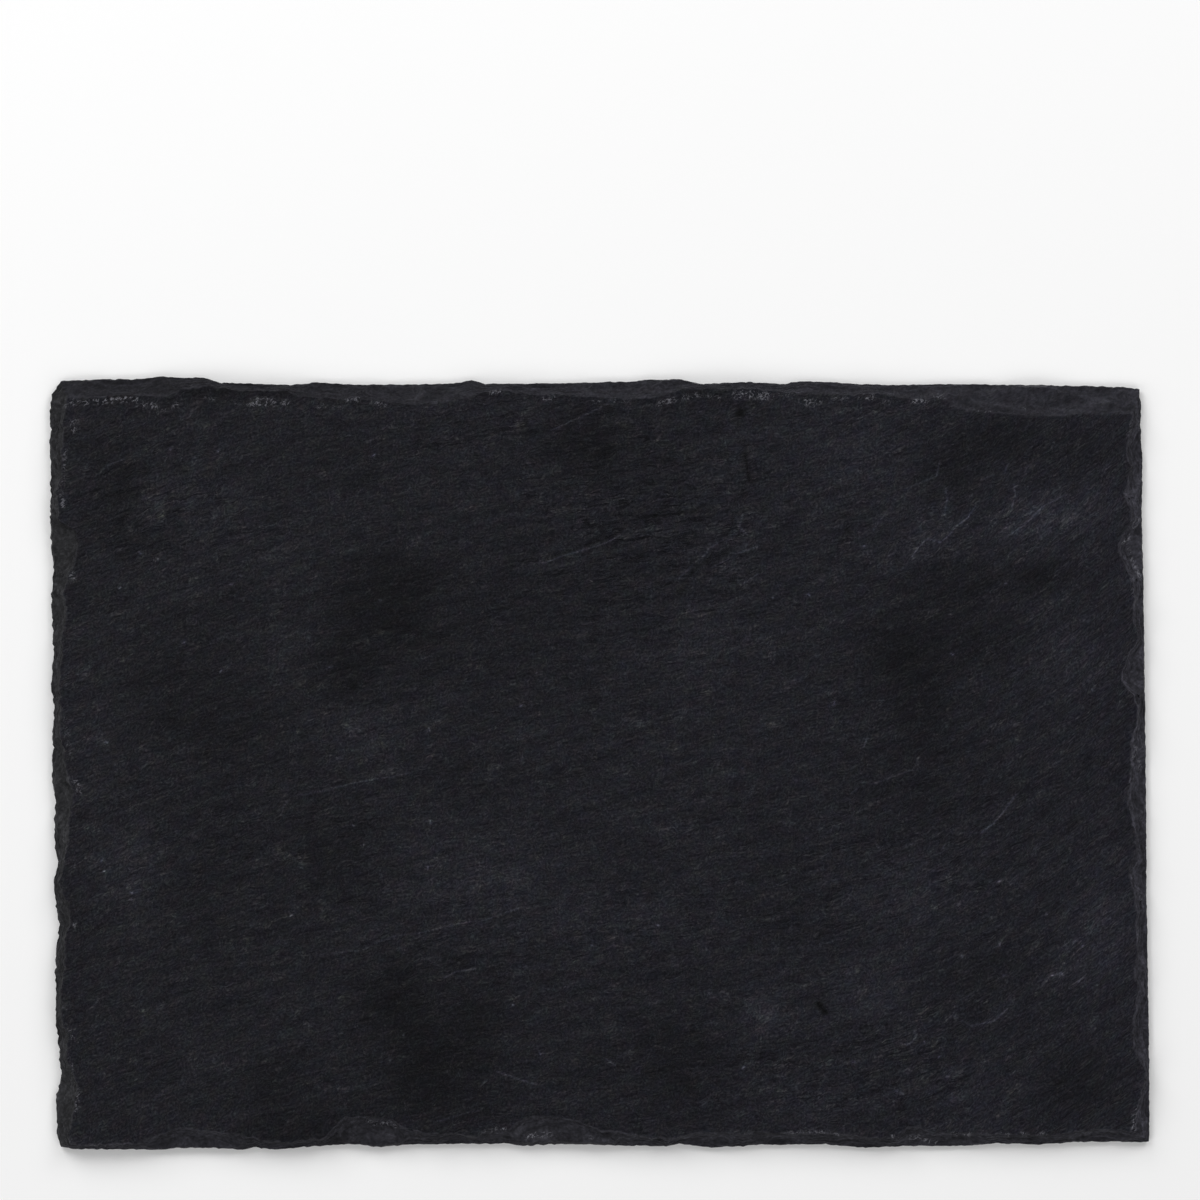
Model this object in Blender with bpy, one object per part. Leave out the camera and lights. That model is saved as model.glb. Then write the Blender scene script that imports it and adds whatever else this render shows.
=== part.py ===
"""Slate slab: one piece of split stone with hammer-dressed edges, lying on its back.

Metres, +Z up. The origin is under the middle of the slab, on the surface that it lies on. +X runs along
the long sides and +Y points to the far long side. The stone is split along its cleavage, so the face is
gently uneven and thin sheets have come away in places, on the face and on the back. Each edge is dressed
by blows from the back, and every blow leaves a hollow scar between the ragged outline and the face.

The shape is worked out on a true rectangular blank, and its rim is then drawn to the ragged outline.
"""

import math

import bmesh
import bpy
from mathutils import Vector, noise
from mathutils.geometry import delaunay_2d_cdt

MM = 0.001

# The blank and the slab's thickness
HALF_LENGTH = 176.0 * MM
HALF_WIDTH = 123.0 * MM
THICKNESS = 6.2 * MM
ARRIS_HEIGHT = 1.8 * MM  # the outline's sharp edge stands this far above the back

# Where each side runs once dressed, in mm: (place along the side, distance from the middle)
SIDES = {
    "near": (
        (-176, -123.7), (-171, -124.4), (-143, -124.6), (-130, -123.9), (-115, -124.6), (-111, -123.8),
        (-105, -124.6), (-85, -123.0), (-77, -123.0), (-71, -123.8), (-63, -123.0), (-30, -122.6),
        (-25, -123.3), (-13, -122.8), (12, -123.4), (22, -123.4), (27, -122.8), (36, -124.0),
        (50, -123.1), (72, -122.8), (85, -124.0), (103, -123.3), (117, -123.5), (128, -122.5),
        (141, -123.0), (154, -122.1), (176, -122.1),
    ),
    "right": (
        (-122, 177.3), (-98, 177.3), (-70, 176.9), (-42, 176.4), (-10, 176.3), (20, 175.9),
        (60, 175.4), (80, 174.9), (97, 175.1), (109, 174.4), (117, 174.8), (121, 174.1),
    ),
    "far": (
        (-176, 123.2), (-160, 123.8), (-149, 123.8), (-141, 124.7), (-135, 124.3), (-128, 124.2),
        (-122, 122.7), (-113, 122.4), (-100, 121.9), (-91, 122.8), (-80, 122.0), (-62, 122.1),
        (-47, 122.4), (-41, 123.5), (-37, 122.3), (-12, 122.5), (8, 123.0), (17, 123.7),
        (27, 123.6), (33, 122.2), (46, 122.9), (60, 122.3), (65, 123.2), (78, 122.6),
        (92, 121.9), (116, 122.2), (140, 121.9), (160, 121.5), (171, 121.2), (176, 120.6),
    ),
    "left": (
        (-124, -173.4), (-119, -175.0), (-106, -175.1), (-102, -173.6), (-93, -174.1), (-86, -175.2),
        (-66, -175.5), (-58, -174.9), (-52, -174.2), (-44, -175.7), (-38, -176.0), (-33, -174.6),
        (-24, -175.9), (-14, -175.4), (-4, -176.6), (8, -176.3), (18, -175.9), (25, -176.9),
        (35, -176.0), (52, -176.8), (63, -176.0), (72, -177.0), (95, -177.1), (106, -177.2),
        (115, -177.2), (119, -176.3), (123, -174.0),
    ),
}
RAGGEDNESS = {"near": 0.20 * MM, "right": 0.14 * MM, "far": 0.18 * MM, "left": 0.42 * MM}
RAG_LENGTH = 7.0 * MM  # the coarsest teeth of the ragged outline
OUTLINE_FADE = 16.0 * MM  # how far in from the rim the blank is drawn to the outline

# Scars of the dressing, in mm: (middle along the side, half length, reach inwards, depth below the face)
SCARS = {
    "near": (
        (-160, 11, 2.6, 4.0), (-131, 18, 6.2, 3.0), (-99, 14, 3.0, 4.2), (-73, 12, 8.7, 2.6),
        (-45, 10, 4.0, 4.2), (-11, 19, 9.0, 2.2), (14, 7, 3.8, 4.0), (32, 13, 5.0, 4.1),
        (58, 13, 4.0, 4.2), (84, 13, 3.3, 4.2), (113, 15, 3.6, 4.1), (139, 10, 2.8, 4.0),
        (161, 12, 4.2, 4.2),
    ),
    "right": (
        (-109, 11, 3.8, 4.1), (-84, 14, 4.5, 4.3), (-57, 13, 4.0, 4.2), (-37, 8, 5.6, 3.9),
        (-25, 6, 3.3, 4.0), (-5, 15, 5.3, 4.2), (16, 7, 3.0, 4.0), (31, 10, 7.7, 3.2),
        (52, 5, 3.2, 3.8), (69, 11, 8.5, 3.4), (98, 14, 5.8, 4.2),
    ),
    "far": (
        (-153, 19, 6.6, 4.2), (-116, 16, 2.4, 4.0), (-87, 12, 4.6, 4.2), (-66, 12, 5.2, 4.3),
        (-16, 19, 3.8, 4.4), (6, 12, 5.2, 4.2), (25, 8, 6.0, 3.6), (48, 16, 2.4, 4.0),
        (76, 12, 2.6, 3.8), (99, 12, 3.2, 4.0), (124, 16, 3.4, 4.1), (141, 31, 10.5, 2.2),
        (158, 18, 4.0, 4.3),
    ),
    "left": (
        (-107, 11, 5.0, 4.1), (-88, 8, 5.4, 3.9), (-72, 8, 3.5, 4.2), (-54, 10, 3.8, 4.1),
        (-33, 11, 4.2, 4.2), (-13, 9, 6.3, 3.6), (3, 7, 4.0, 4.1), (24, 13, 3.0, 4.2),
        (48, 12, 4.2, 4.2), (72, 12, 8.4, 2.8), (92, 9, 3.8, 4.2), (109, 10, 4.0, 4.1),
    ),
}
# The crest, where the dressing meets the face, in mm: (place along the side, distance in from the outline)
CRESTS = {
    "near": (
        (-176, 2.0), (-160, 1.8), (-149, 2.2), (-143, 4.2), (-135, 6.5), (-125, 5.3), (-115, 4.8),
        (-109, 2.8), (-104, 3.0), (-100, 2.2), (-88, 2.9), (-85, 6.5), (-82, 9.0), (-74, 9.3),
        (-67, 8.7), (-63, 6.0), (-56, 3.7), (-48, 4.2), (-40, 2.8), (-34, 5.0), (-29, 5.1), (-26, 8.0),
        (-21, 9.6), (-13, 9.0), (-7, 7.8), (0, 5.2), (8, 4.5), (14, 3.3), (25, 2.6), (31, 4.6),
        (40, 4.9), (46, 3.8), (50, 4.6), (62, 4.0), (80, 4.0), (90, 3.3), (96, 3.4), (99, 6.3),
        (103, 6.3), (107, 4.8), (118, 4.8), (124, 3.8), (145, 3.4), (153, 3.9), (160, 4.6), (176, 4.0),
    ),
    "right": (
        (-123, 4.5), (-116, 4.8), (-108, 3.4), (-104, 2.3), (-99, 1.6), (-96, 3.2), (-92, 5.0),
        (-82, 5.2), (-78, 4.5), (-73, 3.8), (-67, 4.6), (-59, 3.4), (-54, 3.8), (-42, 4.0), (-36, 6.0),
        (-33, 5.5), (-29, 4.0), (-24, 3.6), (-18, 5.2), (-12, 6.5), (-6, 5.6), (-2, 5.0), (4, 5.6),
        (8, 4.7), (12, 3.2), (18, 2.6), (22, 4.5), (26, 7.6), (29, 7.7), (36, 5.0), (40, 2.2),
        (47, 4.0), (52, 3.4), (57, 3.5), (62, 6.0), (68, 8.5), (71, 8.6), (75, 6.2), (79, 3.4),
        (83, 4.8), (87, 6.8), (91, 5.8), (95, 4.3), (100, 5.8), (105, 4.6), (111, 3.2), (123, 4.0),
    ),
    "far": (
        (-176, 6.0), (-170, 5.8), (-158, 5.5), (-152, 4.8), (-147, 5.3), (-142, 6.0), (-137, 5.0),
        (-134, 3.5), (-129, 3.2), (-126, 2.0), (-121, 1.7), (-116, 2.7), (-108, 2.2), (-101, 2.0),
        (-97, 4.0), (-92, 5.0), (-81, 5.2), (-76, 4.6), (-68, 6.0), (-60, 6.8), (-50, 6.2), (-41, 5.0),
        (-36, 2.6), (-31, 2.4), (-21, 3.9), (-14, 3.6), (-3, 5.0), (8, 5.6), (16, 5.7), (21, 4.9),
        (27, 2.8), (33, 1.6), (42, 2.2), (50, 2.3), (60, 3.0), (66, 4.2), (80, 4.0), (90, 3.2),
        (98, 4.6), (106, 4.9), (110, 5.0), (114, 8.0), (118, 9.0), (130, 9.8), (140, 10.8), (148, 10.6),
        (153, 10.1), (166, 10.1), (176, 9.5),
    ),
    "left": (
        (-123, 4.5), (-118, 4.5), (-114, 5.6), (-108, 7.0), (-105, 7.4), (-102, 6.0), (-99, 4.3),
        (-93, 2.8), (-88, 4.0), (-82, 2.3), (-78, 2.6), (-73, 1.9), (-68, 3.4), (-60, 3.4), (-56, 2.8),
        (-50, 5.0), (-44, 4.5), (-40, 2.3), (-31, 2.7), (-27, 4.5), (-20, 5.1), (-12, 6.4), (-9, 7.0),
        (-3, 5.3), (4, 4.0), (10, 2.9), (20, 2.6), (24, 3.2), (40, 3.2), (46, 4.9), (50, 5.3),
        (55, 4.1), (60, 5.7), (66, 7.8), (71, 9.3), (75, 8.2), (78, 3.3), (84, 3.1), (87, 2.4),
        (92, 3.6), (104, 4.4), (110, 4.2), (115, 5.6), (123, 5.8),
    ),
}
DEEP_SCAR = 3.5 * MM  # deeper scars are scooped bowls, and shallower ones flat beds with a steep rim
BOWL_POWER = 3.2
BED_POWER = 7.0
RIM_POWER = 4.0 / 3.0  # 2 would make a scar's rim half an oval; less than 2 runs its ends out thinly
BEVEL_REACH = 1.7 * MM  # the narrow bevel left even where two scars meet
BEVEL_POWER = 0.9
UNEVEN_LENGTH = 9.0 * MM  # how fast the bevel and the scars' rims waver along a side
BEVEL_UNEVEN = 0.5
SCAR_UNEVEN = 0.12
ARRIS_UNEVEN = 0.25

# Thin sheets come away, in mm and degrees: (x, y, half length, half width, turn, depth)
FACE_SPALLS = (
    (46, -28.5, 9, 4.5, 10, 0.40), (122, -79.5, 9.5, 4.6, 190, 0.40), (137, 84, 13, 6, 215, 0.45),
    (-46, -64.5, 7, 4, 195, 0.40), (40, 69.5, 7, 3.4, 205, 0.35),
)
BACK_SPALLS = (
    (-105, 55, 34, 19, 18, 0.80), (88, 66, 40, 17, 192, 0.70), (-88, -62, 42, 18, 10, 0.85),
    (52, -58, 26, 20, 160, 0.60), (128, -34, 26, 20, 75, 0.70), (-20, 76, 24, 13, 14, 0.60),
    (-142, -6, 24, 14, 260, 0.65),
)
SPALL_RISER = 1.0 * MM  # plan width of the step around a spall
SPALL_POINTS = 26
SPALL_WOBBLE = 0.17  # how much the rim's radius varies
SPALL_LOBES = 1.7  # how fast it varies round the rim

# The grain of the cleavage climbs gently towards +X, and swings up more at both ends
GRAIN_CLIMB = 0.16
GRAIN_MIDDLE = 20.0 * MM
GRAIN_SPAN = 150.0 * MM
GRAIN_SWING_LEFT = 0.13
GRAIN_SWING_RIGHT = 0.60
SWELL_LENGTH = 70.0 * MM
SWELL_HEIGHT = 0.24 * MM
RIDGE_ALONG = 45.0 * MM
RIDGE_ACROSS = 14.0 * MM
RIDGE_HEIGHT = 0.13 * MM

# How the blank is divided
LONG_SIDE_STEPS = 130
SHORT_SIDE_STEPS = 91
DRESSED_RINGS = (0.0, 0.42, 0.80, 1.0)  # shares of the way from the outline to the crest
FACE_RING = 2.6 * MM  # the innermost ring runs this far in from the crest
LATTICE_ALONG = 13.0 * MM
LATTICE_ACROSS = 6.5 * MM
LATTICE_MARGIN = 3.0 * MM
CLEAR_OF_STEP = (0.6, 1.3)  # lattice points keep out of this stretch of a spall's radius
INSIDE_ONLY = 1  # the triangulation's option that keeps only the triangles inside the rim
SAME_POINT = 1e-4  # in mm

# The worn lower edge
WAIST_HEIGHT = 0.9 * MM
WAIST_BULGE = 0.12 * MM
BACK_INSET = 0.7 * MM
BACK_CHIPS = 0.35 * MM

# Layers of the noise, far enough apart that no two features repeat each other
OUTLINE_LAYER = 11.0
DRESSING_LAYER = 0.0
SIDE_LAYER_STEP = 7.0
SWELL_LAYER = 3.0
RIDGE_LAYER = 8.0
BACK_LAYER = 21.0

SLATE_COLOUR = (0.0145, 0.0145, 0.0178, 1.0)
SLATE_ROUGHNESS = 0.62


def clear_scene():
    """Removes the objects of the startup scene."""
    for obj in list(bpy.data.objects):
        bpy.data.objects.remove(obj)


def smooth(value):
    """An even step from 0 to 1 as value goes from 0 to 1."""
    value = min(1.0, max(0.0, value))
    return value * value * (3.0 - 2.0 * value)


def rough(x, y, z, octaves=3):
    """Fractal roughness of about -1 to 1 at a place counted in wavelengths."""
    return noise.fractal(Vector((x, y, z)), 1.0, 2.0, octaves)


def side_layer(side):
    """How far apart a side's noise lies from that of the first side."""
    return SIDE_LAYER_STEP * list(SIDES).index(side)


def read_table(points, along):
    """Reads a table of points in mm at a place along a side, straight from point to point."""
    place = along / MM
    before, after = points[0], points[-1]
    for start, end in zip(points, points[1:]):
        if start[0] <= place <= end[0]:
            before, after = start, end
            break
    share = min(1.0, max(0.0, (place - before[0]) / (after[0] - before[0])))
    return (before[1] + (after[1] - before[1]) * share) * MM


def side_run(side, along):
    """Distance from the middle at which a side runs, at a place along it."""
    straight = read_table(SIDES[side], along)
    return straight + RAGGEDNESS[side] * rough(along / RAG_LENGTH, OUTLINE_LAYER + side_layer(side), 0.0)


def dressed_place(x, y):
    """The place in the dressed slab of a point of the blank."""
    near, far = HALF_WIDTH + y, HALF_WIDTH - y
    left, right = HALF_LENGTH + x, HALF_LENGTH - x
    dx = dy = 0.0
    if right < OUTLINE_FADE:
        dx += (side_run("right", y) - HALF_LENGTH) * smooth(1.0 - right / OUTLINE_FADE)
    if left < OUTLINE_FADE:
        dx += (side_run("left", y) + HALF_LENGTH) * smooth(1.0 - left / OUTLINE_FADE)
    if far < OUTLINE_FADE:
        dy += (side_run("far", x) - HALF_WIDTH) * smooth(1.0 - far / OUTLINE_FADE)
    if near < OUTLINE_FADE:
        dy += (side_run("near", x) + HALF_WIDTH) * smooth(1.0 - near / OUTLINE_FADE)
    return x + dx, y + dy


def grain_rise(x):
    """How far a line of the grain has climbed at x."""
    share = (x - GRAIN_MIDDLE) / GRAIN_SPAN
    swing = GRAIN_SWING_RIGHT if share > 0.0 else GRAIN_SWING_LEFT
    return GRAIN_CLIMB * x + swing * GRAIN_SPAN * share**3 / 3.0


def spall_place(spall, x, y):
    """A point's place along and across a spall, each counted in the spall's half length or width."""
    middle_x, middle_y, half_length, half_width, turn, _ = spall
    turn = math.radians(turn)
    from_x, from_y = x / MM - middle_x, y / MM - middle_y
    along = (from_x * math.cos(turn) + from_y * math.sin(turn)) / half_length
    across = (from_y * math.cos(turn) - from_x * math.sin(turn)) / half_width
    return along, across


def spall_share(spall, x, y):
    """How far out a point lies in a spall: 0 at its middle and 1 on its rim."""
    along, across = spall_place(spall, x, y)
    return math.hypot(along, across) / spall_reach(spall, math.atan2(across, along))


def spall_reach(spall, angle):
    """The wobbling radius of a spall's rim, where 1 is its plain oval."""
    turning = Vector((SPALL_LOBES * math.cos(angle), SPALL_LOBES * math.sin(angle), spall[0]))
    return 1.0 + SPALL_WOBBLE * noise.noise(turning)


def spall_point(spall, angle, share):
    """The blank's point at an angle of a spall, and at a share of the way out to its rim."""
    middle_x, middle_y, half_length, half_width, turn, _ = spall
    turn = math.radians(turn)
    reach = share * spall_reach(spall, angle)
    along = half_length * reach * math.cos(angle)
    across = half_width * reach * math.sin(angle)
    return (
        (middle_x + along * math.cos(turn) - across * math.sin(turn)) * MM,
        (middle_y + along * math.sin(turn) + across * math.cos(turn)) * MM,
    )


def riser_share(spall):
    """The share of a spall's half width that its sloping step takes up."""
    return SPALL_RISER / (spall[3] * MM)


def spall_depth(spalls, x, y):
    """How deep the spalls leave the surface at a point.

    A spall's floor leans: it is deepest at the far side, where its step is, and runs out at the near side.
    """
    depth = 0.0
    for spall in spalls:
        inside = (1.0 - spall_share(spall, x, y)) / riser_share(spall)
        lean = 0.5 + 0.5 * spall_place(spall, x, y)[1]
        depth = max(depth, spall[5] * MM * min(1.0, max(0.0, inside)) * min(1.0, max(0.0, lean)))
    return depth


def face_height(x, y):
    """Height of the split face before the edges are dressed."""
    across = y - grain_rise(x)
    swell = SWELL_HEIGHT * rough(x / SWELL_LENGTH, y / SWELL_LENGTH, SWELL_LAYER, 2)
    ridge = RIDGE_HEIGHT * rough(x / RIDGE_ALONG, across / RIDGE_ACROSS, RIDGE_LAYER, 2)
    return THICKNESS + swell + ridge - spall_depth(FACE_SPALLS, x, y)


def unevenness(side, along):
    """How the dressing of a side wavers along it, from about -1 to 1."""
    return rough(along / UNEVEN_LENGTH, DRESSING_LAYER + side_layer(side), 0.0, 2)


def bevel_reach(side, along):
    """How far in the narrow bevel of a side reaches."""
    return BEVEL_REACH * (1.0 + BEVEL_UNEVEN * unevenness(side, along))


def crest(side, along):
    """How far in from its side the dressing meets the face, at a place along the side."""
    return read_table(CRESTS[side], along)


def scars_reach(side, along):
    """How far in the scars and the bevel would reach by themselves, at a place along the side."""
    reaches = [bevel_reach(side, along)]
    stretch = MM * (1.0 + SCAR_UNEVEN * unevenness(side, along))
    for middle, half_length, reach, _ in SCARS[side]:
        sideways = (along / MM - middle) / half_length
        if abs(sideways) < 1.0:
            reaches.append(reach * stretch * (1.0 - sideways**2) ** (1.0 / RIM_POWER))
    return max(reaches)


def scar_height(side, along, inwards):
    """Height of the dressed edge of one side: its scars and bevel, drawn out to end at the crest."""
    inwards *= scars_reach(side, along) / crest(side, along)
    uneven = unevenness(side, along)
    arris = ARRIS_HEIGHT * (1.0 + ARRIS_UNEVEN * uneven)
    stretch = MM * (1.0 + SCAR_UNEVEN * uneven)
    lowest = arris + (THICKNESS - arris) * (inwards / bevel_reach(side, along)) ** BEVEL_POWER
    for middle, half_length, reach, depth in SCARS[side]:
        sideways = (along / MM - middle) / half_length
        out = math.sqrt(sideways**2 + (inwards / (reach * stretch)) ** RIM_POWER)
        power = BOWL_POWER if depth * MM > DEEP_SCAR else BED_POWER
        lowest = min(lowest, THICKNESS - depth * MM * (1.0 - out**power))
    return lowest


def top_height(x, y):
    """Height of the finished top: the split face, cut down where the edges are dressed."""
    return min(
        face_height(x, y),
        scar_height("near", x, HALF_WIDTH + y),
        scar_height("far", x, HALF_WIDTH - y),
        scar_height("left", y, HALF_LENGTH + x),
        scar_height("right", y, HALF_LENGTH - x),
    )


def side_row(side, depth, direction, insets):
    """The place along a side and the depth there, at each step that a ring takes along it.

    direction is 1 where the ring runs towards +X or +Y, and -1 where it runs back. insets says how far from
    the side's two ends the ring turns its corners.
    """
    long_side = side in ("near", "far")
    half_run = HALF_LENGTH if long_side else HALF_WIDTH
    steps = LONG_SIDE_STEPS if long_side else SHORT_SIDE_STEPS
    row = []
    for step in range(steps):
        place = insets[0] - half_run + (2.0 * half_run - sum(insets)) * step / steps
        measured = place if step else -half_run
        row.append((direction * place, depth(side, direction * measured)))
    return row


def ring(depth):
    """The blank's points at a depth in from its sides, counter-clockwise from the near left corner.

    depth is called with a side's name and a place along the side, and tells how far in the ring runs there.
    """
    near = side_row("near", depth, 1, (depth("left", -HALF_WIDTH), depth("right", -HALF_WIDTH)))
    right = side_row("right", depth, 1, (depth("near", HALF_LENGTH), depth("far", HALF_LENGTH)))
    far = side_row("far", depth, -1, (depth("right", HALF_WIDTH), depth("left", HALF_WIDTH)))
    left = side_row("left", depth, -1, (depth("far", -HALF_LENGTH), depth("near", -HALF_LENGTH)))
    points = [(place, deep - HALF_WIDTH) for place, deep in near]
    points += [(HALF_LENGTH - deep, place) for place, deep in right]
    points += [(place, HALF_WIDTH - deep) for place, deep in far]
    points += [(deep - HALF_LENGTH, place) for place, deep in left]
    return points


def even_ring(depth):
    """A ring at the same depth all the way round."""
    return ring(lambda side, along: depth)


def well_inside(x, y):
    """Whether a point of the blank lies far enough inside the innermost ring."""
    gaps = (
        HALF_WIDTH + y - crest("near", x),
        HALF_WIDTH - y - crest("far", x),
        HALF_LENGTH + x - crest("left", y),
        HALF_LENGTH - x - crest("right", y),
    )
    return min(gaps) > FACE_RING + LATTICE_MARGIN


def beside_step(x, y):
    """Whether a point lies on or close to the step of one of the face's spalls."""
    nearest, farthest = CLEAR_OF_STEP
    return any(nearest < spall_share(spall, x, y) < farthest for spall in FACE_SPALLS)


def grain_lattice():
    """Points set out along the grain of the face, clear of its rim and of the spalls' steps."""
    rows = math.ceil(2.0 * HALF_LENGTH / LATTICE_ACROSS)
    columns = math.ceil(HALF_LENGTH / LATTICE_ALONG)
    points = []
    for row in range(-rows, rows + 1):
        stagger = 0.5 if row % 2 else 0.0
        for column in range(-columns, columns + 1):
            x = (column + stagger) * LATTICE_ALONG
            y = row * LATTICE_ACROSS + grain_rise(x)
            if well_inside(x, y) and not beside_step(x, y):
                points.append((x, y))
    return points


def spall_loops(spalls):
    """Two loops of points for each spall: its rim and the foot of its step."""
    loops = []
    for spall in spalls:
        for share in (1.0, 1.0 - riser_share(spall)):
            angles = [math.tau * step / SPALL_POINTS for step in range(SPALL_POINTS)]
            loops.append([spall_point(spall, angle, share) for angle in angles])
    return loops


def loop_edges(first, count):
    """Edges that close a loop of count points, which starts at the point numbered first."""
    return [(first + step, first + (step + 1) % count) for step in range(count)]


def add_ring(mesh, points, heights):
    """Adds a ring of vertices for these points of the blank."""
    return [mesh.verts.new((*dressed_place(x, y), z)) for (x, y), z in zip(points, heights)]


def join_rings(mesh, first, second):
    """Adds the band of faces between two rings of as many vertices."""
    count = len(first)
    for here in range(count):
        after = (here + 1) % count
        mesh.faces.new((first[here], first[after], second[after], second[here]))


def fill_ring(mesh, rim, rim_points, loops, scattered, height_at):
    """Fills the rim's ring of vertices with triangles that run through the loops and the scattered points."""
    plan = list(rim_points)
    edges = loop_edges(0, len(plan))
    for loop in loops:
        edges += loop_edges(len(plan), len(loop))
        plan += loop
    plan += scattered
    flat = [Vector((x / MM, y / MM)) for x, y in plan]
    _, _, triangles, sources, _, _ = delaunay_2d_cdt(flat, edges, [], INSIDE_ONLY, SAME_POINT)
    vertices = list(rim)
    vertices += [mesh.verts.new((*dressed_place(x, y), height_at(x, y))) for x, y in plan[len(rim) :]]
    for triangle in triangles:
        mesh.faces.new([vertices[sources[corner][0]] for corner in triangle])


def back_height(x, y):
    """Height of the back, which is flat but for its spalls."""
    return spall_depth(BACK_SPALLS, x, y)


def worn_back(outline):
    """The back's outline: drawn in from the slab's, and chipped a little more in places."""
    points = []
    for x, y in outline:
        chip = rough(x / RAG_LENGTH, y / RAG_LENGTH, BACK_LAYER, 2)
        inset = BACK_INSET + BACK_CHIPS * chip
        points.append((x * (1.0 - inset / HALF_LENGTH), y * (1.0 - inset / HALF_WIDTH)))
    return points


def add_top(mesh):
    """Adds the dressed edges and the face, and returns the ring of vertices round the outline."""
    rings = []
    for share in DRESSED_RINGS:
        points = ring(lambda side, along: share * crest(side, along))
        rings.append(add_ring(mesh, points, [top_height(x, y) for x, y in points]))
    innermost = ring(lambda side, along: crest(side, along) + FACE_RING)
    rings.append(add_ring(mesh, innermost, [top_height(x, y) for x, y in innermost]))
    for outer, inner in zip(rings, rings[1:]):
        join_rings(mesh, outer, inner)
    fill_ring(mesh, rings[-1], innermost, spall_loops(FACE_SPALLS), grain_lattice(), top_height)
    return rings[0]


def add_back(mesh, arris):
    """Adds the worn lower edge below the outline's ring of vertices, and the back."""
    waist_points = even_ring(-WAIST_BULGE)
    waist = add_ring(mesh, waist_points, [WAIST_HEIGHT] * len(waist_points))
    back_points = worn_back(even_ring(0.0))
    back = add_ring(mesh, back_points, [0.0] * len(back_points))
    join_rings(mesh, waist, arris)
    join_rings(mesh, back, waist)
    fill_ring(mesh, back, back_points, spall_loops(BACK_SPALLS), [], back_height)


def build_slab():
    """Builds the whole slab as one closed solid."""
    mesh = bmesh.new()
    add_back(mesh, add_top(mesh))
    bmesh.ops.triangulate(mesh, faces=mesh.faces, quad_method="BEAUTY")
    bmesh.ops.recalc_face_normals(mesh, faces=mesh.faces)
    data = bpy.data.meshes.new("slate_slab")
    mesh.to_mesh(data)
    mesh.free()
    slab = bpy.data.objects.new("slate_slab", data)
    bpy.context.scene.collection.objects.link(slab)
    return slab


def slate_material():
    """Dark blue-grey stone, dull all over."""
    material = bpy.data.materials.new("slate")
    material.use_nodes = True
    surface = material.node_tree.nodes["Principled BSDF"]
    surface.inputs["Base Color"].default_value = SLATE_COLOUR
    surface.inputs["Roughness"].default_value = SLATE_ROUGHNESS
    surface.inputs["Metallic"].default_value = 0.0
    return material


def main():
    """Clears the scene and makes the slab."""
    clear_scene()
    slab = build_slab()
    slab.data.materials.append(slate_material())


main()
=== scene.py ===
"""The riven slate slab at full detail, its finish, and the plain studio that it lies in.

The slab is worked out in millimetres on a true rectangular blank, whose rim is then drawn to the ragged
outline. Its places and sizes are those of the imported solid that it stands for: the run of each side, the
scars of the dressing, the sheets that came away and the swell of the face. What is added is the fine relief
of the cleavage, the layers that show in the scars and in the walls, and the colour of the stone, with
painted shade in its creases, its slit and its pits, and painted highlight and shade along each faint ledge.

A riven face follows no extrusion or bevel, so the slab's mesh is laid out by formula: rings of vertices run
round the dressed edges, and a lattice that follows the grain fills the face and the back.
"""

import logging
import math
from collections.abc import Callable
from dataclasses import dataclass, field
from enum import Enum

import bpy
import numpy as np
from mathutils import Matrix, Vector, noise
from mathutils.geometry import delaunay_2d_cdt


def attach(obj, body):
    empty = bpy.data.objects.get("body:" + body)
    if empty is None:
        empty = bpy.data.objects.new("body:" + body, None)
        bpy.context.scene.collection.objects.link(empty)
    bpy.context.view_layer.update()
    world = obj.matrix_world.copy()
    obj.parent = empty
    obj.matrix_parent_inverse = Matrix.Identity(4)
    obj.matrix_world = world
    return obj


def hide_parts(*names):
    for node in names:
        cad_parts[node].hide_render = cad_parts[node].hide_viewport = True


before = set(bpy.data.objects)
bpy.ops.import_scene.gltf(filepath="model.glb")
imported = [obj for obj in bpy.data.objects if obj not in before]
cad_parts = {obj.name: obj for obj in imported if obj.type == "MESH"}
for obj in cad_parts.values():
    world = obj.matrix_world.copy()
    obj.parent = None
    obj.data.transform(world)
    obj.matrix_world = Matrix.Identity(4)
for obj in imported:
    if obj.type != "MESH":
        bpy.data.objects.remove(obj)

LOG = logging.getLogger("slate")
MM = 0.001
HAIR = 1e-6

Array = np.ndarray
Depth = Callable[["Side", Array], Array]


class Side(Enum):
    """A side of the slab. Its value is the layer that the side's noise is read from."""

    NEAR = 0.0
    RIGHT = 7.0
    FAR = 14.0
    LEFT = 21.0


class Layer(float, Enum):
    """The layers of the noise, far enough apart that no two features repeat each other."""

    DRESSING = 0.0
    OUTLINE = 11.0
    SWELL = 3.0
    RIDGE = 8.0
    BACK = 21.0
    RIB = 34.0
    FLAKE = 40.0
    BACK_FLAKE = 42.0
    GRIT = 46.0
    CHIP = 52.0
    WALL = 58.0
    TONE = 64.0
    MARK = 70.0


def rough(x: Array, y: Array, z: Array | float, octaves: int = 3) -> Array:
    """Fractal noise.

    Args:
        x: Places along the first axis, counted in wavelengths.
        y: Places along the second axis.
        z: Places along the third axis, or one layer for all.
        octaves: How many octaves of detail to add up.

    Returns:
        A value of about -1 to 1 for each place.
    """
    x, y, z = np.broadcast_arrays(x, y, z)
    places = zip(x.ravel(), y.ravel(), z.ravel())
    values = [noise.fractal(place, 1.0, 2.0, octaves) for place in places]
    return np.array(values).reshape(x.shape)


def smooth(value: Array) -> Array:
    """An even step from 0 to 1 as value goes from 0 to 1."""
    value = np.clip(value, 0.0, 1.0)
    return value * value * (3.0 - 2.0 * value)


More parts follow.
